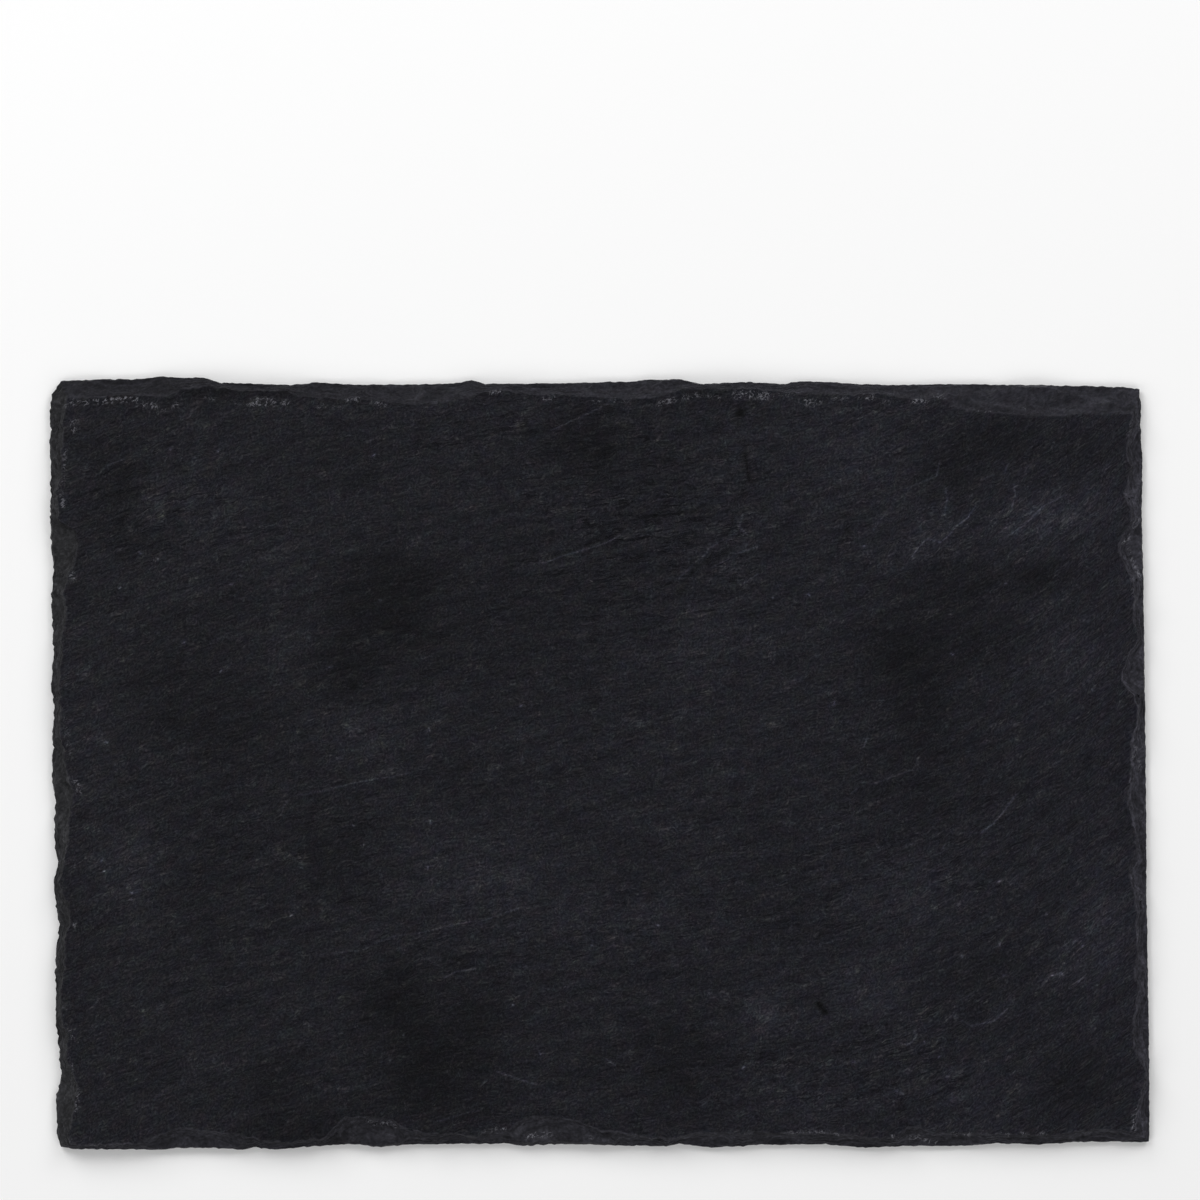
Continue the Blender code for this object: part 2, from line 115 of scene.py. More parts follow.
def stair(value: Array, step: float, riser: float) -> Array:
    """Turns a slope into stairs.

    Args:
        value: The slope's heights.
        step: The height of a stair.
        riser: The share of each stair that is riser, from near 0 for sharp stairs to 1 for nearly none.

    Returns:
        The heights of the stairs.
    """
    level = value / step
    tread = np.floor(level)
    return step * (tread + smooth((level - tread - 0.5) / riser + 0.5))


@dataclass(frozen=True)
class Scar:
    """The hollow that one blow of the dressing leaves at the edge, in mm."""

    middle: float
    half_length: float
    reach: float
    depth: float
    deep: float = 3.5
    bowl_power: float = 3.2
    bed_power: float = 7.0

    @property
    def power(self) -> float:
        """How flat its floor is: a deep scar is a scooped bowl, a shallow one a flat bed with a steep rim."""
        return self.bowl_power if self.depth > self.deep else self.bed_power


@dataclass(frozen=True)
class Oval:
    """A turned oval on the slab, in mm and degrees."""

    x: float
    y: float
    half_length: float
    half_width: float
    turn: float

    def within(self, x: Array, y: Array) -> tuple[Array, Array]:
        """Places points in the oval.

        Args:
            x: The points' first coordinates.
            y: Their second coordinates.

        Returns:
            How far along and how far across it they lie from its middle, counted in its half sizes.
        """
        turn = math.radians(self.turn)
        from_x, from_y = x - self.x, y - self.y
        along = (from_x * math.cos(turn) + from_y * math.sin(turn)) / self.half_length
        across = (from_y * math.cos(turn) - from_x * math.sin(turn)) / self.half_width
        return along, across


@dataclass(frozen=True)
class Spall(Oval):
    """A place where a thin sheet came away, in mm: deepest at its far side, and running out near."""

    depth: float
    riser: float = 1.0
    wobble: float = 0.17
    lobes: float = 1.7

    def depth_at(self, x: Array, y: Array) -> Array:
        """How deep it leaves the surface.

        Args:
            x: The points' first coordinates.
            y: Their second coordinates.

        Returns:
            The depth at each point, and 0 outside the spall's wavering rim.
        """
        along, across = self.within(x, y)
        out = np.hypot(along, across)
        depth = np.zeros_like(out)
        close = out < 1.0 + self.wobble
        angle = np.arctan2(across[close], along[close])
        rim = rough(self.lobes * np.cos(angle), self.lobes * np.sin(angle), self.x, 1)
        inside = (1.0 - out[close] / (1.0 + self.wobble * rim)) * self.half_width / self.riser
        lean = np.clip(0.5 + 0.5 * across[close], 0.0, 1.0)
        depth[close] = self.depth * smooth(inside) * lean
        return depth


@dataclass(frozen=True)
class Patch(Oval):
    """A soft patch where the stone is darker or paler, or its layers show more, by its strength."""

    strength: float

    def strength_at(self, x: Array, y: Array) -> Array:
        """How strong the patch is at each point."""
        along, across = self.within(x, y)
        return self.strength * np.exp(-(along**2) - across**2)


@dataclass(frozen=True)
class Bruise:
    """A stretch of a side that is bruised white, in mm: its run, and how far past the crest it lies."""

    start: float
    end: float
    strength: float
    past_crest: float = 1.0
    half_width: float = 0.9


@dataclass(frozen=True)
class Mark:
    """A small pit, slit, raised line or fleck of the face, in mm: height is below 0 for a pit, whose shade
    below 0 is painted shade.
    """

    path: tuple[tuple[float, float], ...]
    half_width: float
    height: float
    shade: float
    waver: float = 0.45
    waver_length: float = 1.3
    farthest: float = 2.4
    least_run: float = 1e-9

    def box(self) -> tuple[float, float, float, float]:
        """The lowest x, highest x, lowest y and highest y that the mark reaches."""
        spare = self.farthest * self.half_width
        x, y = np.array(self.path).T
        return x.min() - spare, x.max() + spare, y.min() - spare, y.max() + spare

    def gap(self, x: Array, y: Array) -> Array:
        """Measures how far points lie from the mark's line.

        Args:
            x: The points' first coordinates.
            y: Their second coordinates.

        Returns:
            The distance of each, counted in the mark's half width.
        """
        starts = self.path[:-1] or self.path
        ends = self.path[1:] or self.path
        nearest = np.full_like(x, np.inf)
        for start, end in zip(starts, ends):
            run = np.subtract(end, start)
            squared = max(float(run @ run), self.least_run)
            share = np.clip(((x - start[0]) * run[0] + (y - start[1]) * run[1]) / squared, 0.0, 1.0)
            away = np.hypot(x - start[0] - share * run[0], y - start[1] - share * run[1])
            nearest = np.minimum(nearest, away)
        return nearest / self.half_width

    def amount(self, x: Array, y: Array) -> Array:
        """Measures how much of the mark points have.

        Args:
            x: The points' first coordinates.
            y: Their second coordinates.

        Returns:
            A share of 0 to 1 for each, with a wavering edge.
        """
        amount = np.zeros_like(x)
        low_x, high_x, low_y, high_y = self.box()
        close = np.flatnonzero((x > low_x) & (x < high_x) & (y > low_y) & (y < high_y))
        gap = self.gap(x[close], y[close])
        waver = rough(x[close] / self.waver_length, y[close] / self.waver_length, Layer.MARK, 2)
        amount[close] = np.exp(-((gap * (1.0 + self.waver * waver)) ** 2))
        amount[close[gap > self.farthest]] = 0.0
        return amount


@dataclass
class DressedSide:
    """One hammer-dressed side of the slab, in mm: its outline, its scars and the crest where they end."""

    side: Side
    half_run: float
    distance: float
    raggedness: float
    pallor: float
    olive: float
    points: tuple[tuple[float, float], ...]
    crest_points: tuple[tuple[float, float], ...]
    scars: tuple[Scar, ...]
    bruises: tuple[Bruise, ...] = ()
    thickness: float = 6.2
    arris_height: float = 1.8
    arris_uneven: float = 0.25
    bevel_reach: float = 1.7
    bevel_uneven: float = 0.5
    bevel_power: float = 0.9
    scar_uneven: float = 0.12
    uneven_length: float = 9.0
    rim_power: float = 4.0 / 3.0
    rag_length: float = 7.0
    fine_rag_length: float = 1.9
    fine_rag: float = 1.50
    jag_length: float = 2.6
    jag: float = 0.52
    table_step: float = 0.2
    table_spare: float = 4.0
    bruise_fade: float = 2.5
    least_crest: float = 1.2

    def __post_init__(self) -> None:
        """Works out the side's run, waver and crest once, at close steps along it."""
        end = self.half_run + self.table_spare
        self.places = np.arange(-end, end, self.table_step)
        known, runs = np.array(self.points).T
        layer = self.side.value
        rag = rough(self.places / self.rag_length, Layer.OUTLINE + layer, 0.0)
        fine = rough(self.places / self.fine_rag_length, Layer.OUTLINE + layer, Layer.CHIP)
        straight = np.interp(self.places, known, runs)
        self.runs = straight + self.raggedness * (rag + self.fine_rag * fine)
        self.uneven = rough(self.places / self.uneven_length, Layer.DRESSING + layer, 0.0, 2)
        self.bevels = self.bevel_reach * (1.0 + self.bevel_uneven * self.uneven)
        self.reaches = self.bevels.copy()
        for scar in self.scars:
            sideways = np.clip(np.abs(self.places - scar.middle) / scar.half_length, 0.0, 1.0)
            reach = scar.reach * (1.0 + self.scar_uneven * self.uneven)
            self.reaches = np.maximum(self.reaches, reach * (1.0 - sideways**2) ** (1.0 / self.rim_power))
        jag = rough(self.places / self.jag_length, Layer.DRESSING + layer, Layer.CHIP)
        crests = np.interp(self.places, *np.array(self.crest_points).T)
        self.crests = np.maximum(crests + self.jag * jag, self.least_crest)

    def at(self, table: Array, along: Array) -> Array:
        """Reads one of the side's tables at places along it."""
        return np.interp(along, self.places, table)

    def height(self, along: Array, inwards: Array) -> Array:
        """Height of the dressed edge.

        Args:
            along: Places along the side.
            inwards: How far in from the side each point lies.

        Returns:
            The height of the dressing at each point, and a great height beyond its reach.
        """
        uneven = self.at(self.uneven, along)
        inwards = np.maximum(inwards, 0.0) * self.at(self.reaches, along) / self.at(self.crests, along)
        arris = self.arris_height * (1.0 + self.arris_uneven * uneven)
        slope = (inwards / self.at(self.bevels, along)) ** self.bevel_power
        lowest = arris + (self.thickness - arris) * slope
        for scar in self.scars:
            sideways = (along - scar.middle) / scar.half_length
            reach = scar.reach * (1.0 + self.scar_uneven * uneven)
            out = np.sqrt(sideways**2 + (inwards / reach) ** self.rim_power)
            lowest = np.minimum(lowest, self.thickness - scar.depth * (1.0 - out**scar.power))
        return lowest

    def bruised(self, along: Array, inwards: Array) -> Array:
        """Measures how strongly points are bruised.

        Args:
            along: Places along the side.
            inwards: How far in from the side each point lies.

        Returns:
            The strength at each point, which is 0 away from the bruises.
        """
        amount = np.zeros_like(along)
        past_crest = inwards - self.at(self.crests, along)
        for bruise in self.bruises:
            inside = smooth(np.minimum(along - bruise.start, bruise.end - along) / self.bruise_fade + 0.5)
            middle = np.exp(-(((past_crest - bruise.past_crest) / bruise.half_width) ** 2))
            amount = np.maximum(amount, bruise.strength * inside * middle)
        return amount


@dataclass
class Grain:
    """The grain of the cleavage: it climbs gently towards +X and swings up more at both ends. In mm."""

    climb: float = 0.16
    middle: float = 20.0
    span: float = 150.0
    swing_left: float = 0.13
    swing_right: float = 0.60

    def rise(self, x: Array) -> Array:
        """How far a line of the grain has climbed at x."""
        share = (x - self.middle) / self.span
        swing = np.where(share > 0.0, self.swing_right, self.swing_left)
        return self.climb * x + swing * self.span * share**3 / 3.0


@dataclass
class Relief:
    """The fine relief of the split stone, in mm: heights, and wavelengths along and across the grain."""

    swell: float = 0.24
    swell_length: float = 70.0
    ridge: float = 0.13
    ridge_along: float = 45.0
    ridge_across: float = 14.0
    sway: float = 1.6
    sway_along: float = 26.0
    sway_across: float = 10.0
    rib: float = 0.060
    rib_along: float = 10.0
    rib_across: float = 1.9
    flake: float = 0.50
    flake_along: float = 34.0
    flake_across: float = 10.0
    flake_step: float = 0.17
    flake_riser: float = 0.15
    flake_levelled: float = 0.6
    layer_step: float = 1.05
    layer_riser: float = 0.30
    layer_share: float = 0.75
    layer_waver: float = 0.35
    layer_length: float = 8.0
    grit: float = 0.11
    grit_length: float = 1.7
    back_relief: float = 0.16
    back_along: float = 26.0
    back_across: float = 5.0
    back_flake: float = 0.5
    back_flake_along: float = 40.0
    back_flake_across: float = 14.0
    back_flake_step: float = 0.14
    back_flake_riser: float = 0.2


@dataclass
class MeshPlan:
    """How finely the slab's mesh is laid out, in steps and mm."""

    long_steps: int = 410
    short_steps: int = 288
    dressed_rings: tuple[float, ...] = (
        0.0, 0.07, 0.15, 0.23, 0.32, 0.41, 0.50, 0.59, 0.68, 0.77, 0.85, 0.93, 1.0
    )
    face_rings: tuple[float, ...] = (0.5, 1.1, 1.9, 2.9)
    wall_levels: tuple[float, ...] = (1.35, 0.9, 0.45)
    wall_insets: tuple[float, ...] = (-0.08, -0.12, 0.15)
    wall_top: float = 1.8
    least_wall_step: float = 0.05
    wall_roughness: float = 0.16
    wall_rough_length: float = 4.0
    wall_rough_rise: float = 2.4
    back_inset: float = 0.7
    back_chips: float = 0.35
    back_chip_length: float = 7.0
    back_margin: float = 1.6
    back_fade: float = 6.0
    face_along: float = 2.5
    face_across: float = 0.70
    back_along: float = 4.5
    back_across: float = 2.1
    margin: float = 0.7
    mark_spacing: float = 0.29
    mark_edge: float = 0.03


@dataclass
class MeshParts:
    """The vertices and faces of a mesh as they are gathered."""

    plans: list[Array] = field(default_factory=list)
    heights: list[Array] = field(default_factory=list)
    faces: list[Array] = field(default_factory=list)
    count: int = 0

    def add(self, plan: Array, height: Array) -> Array:
        """Adds vertices.

        Args:
            plan: Their points on the blank, one row each.
            height: Their heights.

        Returns:
            Their numbers.
        """
        numbers = np.arange(self.count, self.count + len(plan))
        self.plans.append(plan)
        self.heights.append(height)
        self.count += len(plan)
        return numbers

    def join(self, first: Array, second: Array) -> None:
        """Adds the band of faces between two rings of as many vertices."""
        self.faces.append(np.column_stack([first, np.roll(first, -1), np.roll(second, -1), second]))


@dataclass
class SlateSlab:
    """The slab of split stone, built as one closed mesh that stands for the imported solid."""

    node: str
    slot: str
    sides: dict[Side, DressedSide]
    face_spalls: tuple[Spall, ...]
    small_spalls: tuple[Spall, ...]
    back_spalls: tuple[Spall, ...]
    patches: tuple[Patch, ...]
    flaky: tuple[Patch, ...]
    creased: tuple[Patch, ...]
    marks: tuple[Mark, ...]
    grain: Grain = field(default_factory=Grain)
    relief: Relief = field(default_factory=Relief)
    plan: MeshPlan = field(default_factory=MeshPlan)
    half_length: float = 176.0
    half_width: float = 123.0
    thickness: float = 6.2
    outline_fade: float = 16.0
    rim_reach: float = 15.0
    cloud_tone: float = 0.09
    cloud_along: float = 16.0
    cloud_across: float = 9.0
    patch_tone: float = 3.3
    mark_tone: float = 0.62
    crest_half_width: float = 0.25
    wall_reach: float = 1.5
    wall_pallor: float = 0.9
    sharp_angle: float = 45.0

    def inwards(self, side: Side, x: Array, y: Array) -> Array:
        """How far each point of the blank lies in from a side."""
        if side in (Side.NEAR, Side.FAR):
            return self.half_width + (y if side is Side.NEAR else -y)
        return self.half_length + (x if side is Side.LEFT else -x)

    @staticmethod
    def along(side: Side, x: Array, y: Array) -> Array:
        """The place along a side of each point of the blank."""
        return x if side in (Side.NEAR, Side.FAR) else y

    def crest(self, side: Side, along: Array) -> Array:
        """How far in from a side the dressing meets the face."""
        edge = self.sides[side]
        return edge.at(edge.crests, along)

    def past_crest(self, side: Side, x: Array, y: Array) -> Array:
        """How far each point of the blank lies past the crest of a side, towards the middle."""
        return self.inwards(side, x, y) - self.crest(side, self.along(side, x, y))

    def rim_distance(self, x: Array, y: Array) -> Array:
        """How far each point of the blank lies in from the nearest side."""
        return np.min([self.inwards(side, x, y) for side in self.sides], axis=0)

    def dressed_place(self, x: Array, y: Array) -> tuple[Array, Array]:
        """Draws the blank's rim to the ragged outline.

        Args:
            x: The points' first coordinates on the blank.
            y: Their second coordinates.

        Returns:
            The points' coordinates in the dressed slab.
        """
        moved = {axis: np.zeros_like(x) for axis in "xy"}
        for side, edge in self.sides.items():
            pull = smooth(1.0 - self.inwards(side, x, y) / self.outline_fade)
            shift = edge.at(edge.runs, self.along(side, x, y)) - edge.distance
            moved["y" if side in (Side.NEAR, Side.FAR) else "x"] += pull * shift
        return x + moved["x"], y + moved["y"]

    def rock(self, x: Array, y: Array) -> tuple[Array, Array]:
        """Places along and across the grain."""
        return x, y - self.grain.rise(x)

    def face_height(self, x: Array, y: Array) -> Array:
        """Height of the split face before the edges are dressed.

        Args:
            x: The points' first coordinates on the blank.
            y: Their second coordinates.

        Returns:
            The height of each point, with the swell, ridges, spalls, ribs, flakes and marks of the face.
        """
        shape = self.relief
        along, across = self.rock(x, y)
        height = self.thickness + shape.swell * rough(
            x / shape.swell_length, y / shape.swell_length, Layer.SWELL, 2
        )
        height += shape.ridge * rough(
            x / shape.ridge_along, across / shape.ridge_across, Layer.RIDGE, 2
        )
        for spall in self.face_spalls + self.small_spalls:
            height -= spall.depth_at(x, y)
        swayed = across + shape.sway * rough(
            along / shape.sway_along, across / shape.sway_across, Layer.RIB, 2
        )
        rib = rough(along / shape.rib_along, swayed / shape.rib_across, Layer.RIB, 3)
        height += shape.rib * rib
        flake = shape.flake * rough(
            along / shape.flake_along, swayed / shape.flake_across, Layer.FLAKE, 4
        )
        height += stair(flake, shape.flake_step, shape.flake_riser) - flake * shape.flake_levelled
        for mark in self.marks:
            height += mark.height * mark.amount(x, y)
        return height

    def layered(self, x: Array, y: Array, height: Array) -> Array:
        """Breaks a dressed surface along the stone's thin layers and roughens it.

        Args:
            x: The points' first coordinates on the blank.
            y: Their second coordinates.
            height: Their heights on the smooth surface.

        Returns:
            Their heights on the broken surface.
        """
        shape = self.relief
        waver = shape.layer_waver * rough(x / shape.layer_length, y / shape.layer_length, Layer.CHIP, 3)
        stepped = stair(height + waver, shape.layer_step, shape.layer_riser) - waver
        grit = shape.grit * rough(x / shape.grit_length, y / shape.grit_length, Layer.GRIT, 3)
        return height + shape.layer_share * (stepped - height) + grit

    def top(self, x: Array, y: Array) -> tuple[Array, Array, Array]:
        """The finished top.

        Args:
            x: The points' first coordinates on the blank.
            y: Their second coordinates.

        Returns:
            The height of each point; how pale its dressing is, which is 0 on the face; and how olive.
        """
        face = self.face_height(x, y)
        height = face.copy()
        dressed = np.zeros_like(x)
        olive = np.zeros_like(x)
        for side, edge in self.sides.items():
            inwards = self.inwards(side, x, y)
            close = inwards < self.rim_reach
            along = self.along(side, x, y)[close]
            cut = edge.height(along, inwards[close])
            lower = cut < height[close] - HAIR
            part = np.flatnonzero(close)[lower]
            height[part] = cut[lower]
            dressed[part] = edge.pallor
            olive[part] = edge.olive
        cut_away = dressed > 0.0
        layered = self.layered(x[cut_away], y[cut_away], height[cut_away])
        height[cut_away] = np.minimum(layered, face[cut_away])
        return height, dressed, olive

    def side_row(self, side: Side, depth: Depth, insets: tuple[float, float]) -> tuple[Array, Array]:
        """The part of a ring that runs along one side.

        Args:
            side: The side.
            depth: How far in the ring runs, at places along a side.
            insets: How far from the side's two ends the ring turns its corners.

        Returns:
            The places along the side, in the ring's order, and how far in each lies.
        """
        long_side = side in (Side.NEAR, Side.FAR)
        half_run = self.half_length if long_side else self.half_width
        steps = self.plan.long_steps if long_side else self.plan.short_steps
        direction = 1.0 if side in (Side.NEAR, Side.RIGHT) else -1.0
        place = insets[0] - half_run + (2.0 * half_run - sum(insets)) * np.arange(steps) / steps
        measured = place.copy()
        measured[0] = -half_run
        return direction * place, depth(side, direction * measured)

    def ring(self, depth: Depth) -> Array:
        """Sets a ring of points round the blank.

        Args:
            depth: How far in the ring runs, at places along a side.

        Returns:
            The points, one row each, counter-clockwise from the near left corner.
        """
        half_x, half_y = self.half_length, self.half_width

        def corner(side: Side, along: float) -> float:
            """How far in the ring runs at a corner."""
            return float(depth(side, np.array([along]))[0])

        near = self.side_row(Side.NEAR, depth, (corner(Side.LEFT, -half_y), corner(Side.RIGHT, -half_y)))
        right = self.side_row(Side.RIGHT, depth, (corner(Side.NEAR, half_x), corner(Side.FAR, half_x)))
        far = self.side_row(Side.FAR, depth, (corner(Side.RIGHT, half_y), corner(Side.LEFT, half_y)))
        left = self.side_row(Side.LEFT, depth, (corner(Side.FAR, -half_x), corner(Side.NEAR, -half_x)))
        return np.vstack([
            np.column_stack([near[0], near[1] - half_y]),
            np.column_stack([half_x - right[1], right[0]]),
            np.column_stack([far[0], half_y - far[1]]),
            np.column_stack([left[1] - half_x, left[0]]),
        ])

    def lattice(self, along_step: float, across_step: float, clear: Depth) -> Array:
        """Points set out along the grain in staggered rows.

        Args:
            along_step: Their spacing along the grain.
            across_step: The spacing of the rows.
            clear: How far in from each side the points begin.

        Returns:
            The points of the blank, one row each.
        """
        rows = math.ceil(2.0 * self.half_length / across_step)
        columns = math.ceil(self.half_length / along_step)
        row, column = np.mgrid[-rows : rows + 1, -columns : columns + 1]
        x = (column + 0.5 * (row % 2)) * along_step
        y = row * across_step + self.grain.rise(x)
        inside = np.ones(x.shape, bool)
        for side in self.sides:
            inside &= self.inwards(side, x, y) > clear(side, self.along(side, x, y))
        return np.column_stack([x[inside], y[inside]])

    def with_marks(self, points: Array) -> Array:
        """Sets closer points on the marks.

        Args:
            points: The lattice's points, one row each.

        Returns:
            The points off the marks, followed by the close ones on them.
        """
        spacing = self.plan.mark_spacing
        cells: set[tuple[int, int]] = set()
        close = np.zeros(len(points), bool)
        for mark in self.marks:
            close |= mark.amount(*points.T) > self.plan.mark_edge
            low_x, high_x, low_y, high_y = (edge / spacing for edge in mark.box())
            columns = np.arange(math.floor(low_x), math.ceil(high_x))
            rows = np.arange(math.floor(low_y), math.ceil(high_y))
            column, row = (grid.ravel() for grid in np.meshgrid(columns, rows, indexing="ij"))
            covered = mark.amount(column * spacing, row * spacing) > self.plan.mark_edge
            cells.update(zip(column[covered].tolist(), row[covered].tolist()))
        added = np.array(sorted(cells), float) * spacing
        inside = np.ones(len(added), bool)
        for side in self.sides:
            inside &= self.past_crest(side, *added.T) > self.plan.face_rings[-1] + self.plan.margin
        return np.vstack([points[~close], added[inside]])

    def filled(self, rim: Array, scattered: Array, stretch: float) -> Array:
        """Triangles that fill a rim and run through the scattered points.

        Args:
            rim: The rim's points, counter-clockwise.
            scattered: The points inside it.
            stretch: How much closer the rows of the lattice stand than the points along a row.

        Returns:
            The triangles' corners, counted from the rim's first point on, with their faces up.
        """
        points = np.vstack([rim, scattered])
        along, across = self.rock(points[:, 0], points[:, 1])
        flat = [Vector(place) for place in zip(along / stretch, across)]
        count = len(rim)
        edges = [(here, (here + 1) % count) for here in range(count)]
        found = delaunay_2d_cdt(flat, edges, [], 1, HAIR)
        sources = np.array([source[0] for source in found[3]])
        return sources[np.array(found[2])]

    def add_top(self, parts: MeshParts) -> tuple[Array, Array]:
        """Adds the dressed edges and the face.

        Args:
            parts: The mesh as it is gathered.

        Returns:
            The numbers of the outline's vertices, and their heights.
        """
        plan = self.plan
        depths: list[Depth] = [
            lambda side, along, share=share: share * self.crest(side, along)
            for share in plan.dressed_rings
        ]
        depths += [
            lambda side, along, past=past: past + self.crest(side, along) for past in plan.face_rings
        ]
        rings = []
        for depth in depths:
            points = self.ring(depth)
            rings.append((points, parts.add(points, self.top(*points.T)[0])))
        for (_, outer), (_, inner) in zip(rings, rings[1:]):
            parts.join(outer, inner)
        rim, rim_numbers = rings[-1]
        clear = plan.face_rings[-1] + plan.margin
        scattered = self.with_marks(self.lattice(
            plan.face_along, plan.face_across, lambda side, along: clear + self.crest(side, along)
        ))
        numbers = np.concatenate([rim_numbers, parts.add(scattered, self.top(*scattered.T)[0])])
        stretch = plan.face_along / plan.face_across
        parts.faces.append(numbers[self.filled(rim, scattered, stretch)])
        return rings[0][1], parts.heights[0]

    def wall_inset(self, side: Side, along: Array, level: float, inset: float) -> Array:
        """How far in the wall stands at a level, where each thin layer broke off a little differently."""
        layer = Layer.WALL + side.value
        plan = self.plan
        broken = rough(along / plan.wall_rough_length, layer, level * plan.wall_rough_rise, 3)
        return inset + plan.wall_roughness * broken

    def back_inset(self, side: Side, along: Array) -> Array:
        """How far in the back's outline stands, with its small chips."""
        chips = rough(along / self.plan.back_chip_length, Layer.BACK + side.value, 0.0, 3)
        return self.plan.back_inset + self.plan.back_chips * chips

    def back_height(self, x: Array, y: Array) -> Array:
        """Height of the back: flat where the slab rests, and hollow where sheets came away.

        Args:
            x: The points' first coordinates on the blank.
            y: Their second coordinates.

        Returns:
            The height of each point above the surface that the slab rests on.
        """
        shape = self.relief
        height = np.zeros_like(x)
        for spall in self.back_spalls:
            height = np.maximum(height, spall.depth_at(x, y))
        along, across = self.rock(x, y)
        relief = shape.back_relief * rough(
            along / shape.back_along, across / shape.back_across, Layer.BACK, 4
        )
        flake = shape.back_flake * rough(
            along / shape.back_flake_along, across / shape.back_flake_across, Layer.BACK_FLAKE, 3
        )
        flake = stair(flake, shape.back_flake_step, shape.back_flake_riser)
        return height + np.maximum(relief + np.maximum(flake, 0.0), 0.0)

    def add_back(self, parts: MeshParts, arris: Array, arris_heights: Array) -> None:
        """Adds the wall below the outline's vertices, and the back.

        Args:
            parts: The mesh as it is gathered.
            arris: The numbers of the outline's vertices.
            arris_heights: Their heights.
        """
        plan = self.plan
        above = arris
        lowered = arris_heights
        for level, inset in zip(plan.wall_levels, plan.wall_insets):
            points = self.ring(
                lambda side, along, level=level, inset=inset: self.wall_inset(side, along, level, inset)
            )
            share = level / plan.wall_top
            lowered = np.minimum(share * arris_heights, lowered - plan.least_wall_step)
            below = parts.add(points, lowered)
            parts.join(below, above)
            above = below
        rim = self.ring(self.back_inset)
        rim_numbers = parts.add(rim, np.zeros(len(rim)))
        parts.join(rim_numbers, above)
        clear = plan.back_inset + plan.back_margin
        scattered = self.lattice(plan.back_along, plan.back_across, lambda side, along: clear)
        heights = self.back_height(*scattered.T)
        heights *= smooth((self.rim_distance(*scattered.T) - clear) / plan.back_fade)
        numbers = np.concatenate([rim_numbers, parts.add(scattered, heights)])
        stretch = plan.back_along / plan.back_across
        parts.faces.append(numbers[self.filled(rim, scattered, stretch)][:, ::-1])

    @staticmethod
    def strengths(patches: tuple[Patch, ...], x: Array, y: Array) -> Array:
        """How strong patches are together at each point."""
        return sum(patch.strength_at(x, y) for patch in patches)

    def tone_at(self, x: Array, y: Array) -> Array:
        """How pale or dark the stone is, with the painted shade of the slit, the pits and the dark hollows.

        Args:
            x: The points' first coordinates on the blank.
            y: Their second coordinates.

        Returns:
            The natural logarithm of each point's brightness.
        """
        along, across = self.rock(x, y)
        tone = self.cloud_tone * rough(along / self.cloud_along, across / self.cloud_across, Layer.TONE, 3)
        tone += self.patch_tone * self.strengths(self.patches, x, y)
        # The dark marks' shade below 0 is painted shade in their hollows; the pale lines and flecks are the
        # stone's own colour.
        return tone + self.mark_tone * sum(mark.shade * mark.amount(x, y) for mark in self.marks)

    @staticmethod
    def store(mesh: bpy.types.Mesh, name: str, values: Array) -> None:
        """Stores what the finish reads.

        Args:
            mesh: The mesh.
            name: The attribute's name.
            values: A value or a vector for each vertex.
        """
        vector = values.ndim == 2
        attribute = mesh.attributes.new(name, "FLOAT_VECTOR" if vector else "FLOAT", "POINT")
        key = "vector" if vector else "value"
        attribute.data.foreach_set(key, values.astype(np.float32).ravel())

    def build(self) -> bpy.types.Object:
        """Builds the slab's mesh with its attributes.

        Returns:
            The slab, at the origin, with its place in its mesh.
        """
        parts = MeshParts()
        arris, arris_heights = self.add_top(parts)
        top_count = parts.count
        self.add_back(parts, arris, arris_heights)
        plan = np.vstack(parts.plans)
        heights = np.concatenate(parts.heights)
        x, y = plan.T
        placed_x, placed_y = self.dressed_place(x, y)
        mesh = bpy.data.meshes.new("slate_slab_riven")
        vertices = np.column_stack([placed_x, placed_y, heights]) * MM
        faces = [face for band in parts.faces for face in band.tolist()]
        mesh.from_pydata(vertices.tolist(), [], faces)
        along, across = self.rock(x, y)
        self.store(mesh, "rock", np.column_stack([along, across, heights]))
        self.store(mesh, "tone", self.tone_at(x, y))
        dressed = np.zeros(len(x))
        olive = np.zeros(len(x))
        _, dressed[:top_count], olive[:top_count] = self.top(x[:top_count], y[:top_count])
        on_top = np.arange(len(x)) < top_count
        dressed[~on_top & (heights > 0.0) & (self.rim_distance(x, y) < self.wall_reach)] = self.wall_pallor
        self.store(mesh, "dressed", dressed)
        self.store(mesh, "olive", olive)
        self.store(mesh, "flaky", self.strengths(self.flaky, x, y))
        self.store(mesh, "creased", self.strengths(self.creased, x, y))
        bruised = [
            edge.bruised(self.along(side, x, y), self.inwards(side, x, y))
            for side, edge in self.sides.items()
        ]
        self.store(mesh, "bruise", np.max(bruised, axis=0) * on_top)
        self.store(mesh, "crest", self.crest_line(x, y) * on_top)
        slab = bpy.data.objects.new("slate_slab_riven", mesh)
        bpy.context.scene.collection.objects.link(slab)
        self.finish_mesh(slab)
        return slab

    def crest_line(self, x: Array, y: Array) -> Array:
        """How close each point lies to a crest: 1 on it, and 0 beside it."""
        past = np.array([self.past_crest(side, x, y) for side in self.sides])
        line = np.exp(-((past / self.crest_half_width) ** 2)).max(axis=0)
        return line * (past.min(axis=0) > -self.crest_half_width)

    def finish_mesh(self, slab: bpy.types.Object) -> None:
        """Makes every face a triangle that faces outwards, and shades all but the sharp edges smooth.

        Args:
            slab: The slab, whose mesh is finished in place.
        """
        bpy.ops.object.select_all(action="DESELECT")
        slab.select_set(True)
        bpy.context.view_layer.objects.active = slab
        bpy.ops.object.mode_set(mode="EDIT")
        bpy.ops.mesh.select_all(action="SELECT")
        bpy.ops.mesh.quads_convert_to_tris(quad_method="SHORTEST_DIAGONAL")
        bpy.ops.mesh.normals_make_consistent(inside=False)
        bpy.ops.object.mode_set(mode="OBJECT")
        bpy.ops.object.shade_smooth_by_angle(angle=math.radians(self.sharp_angle))

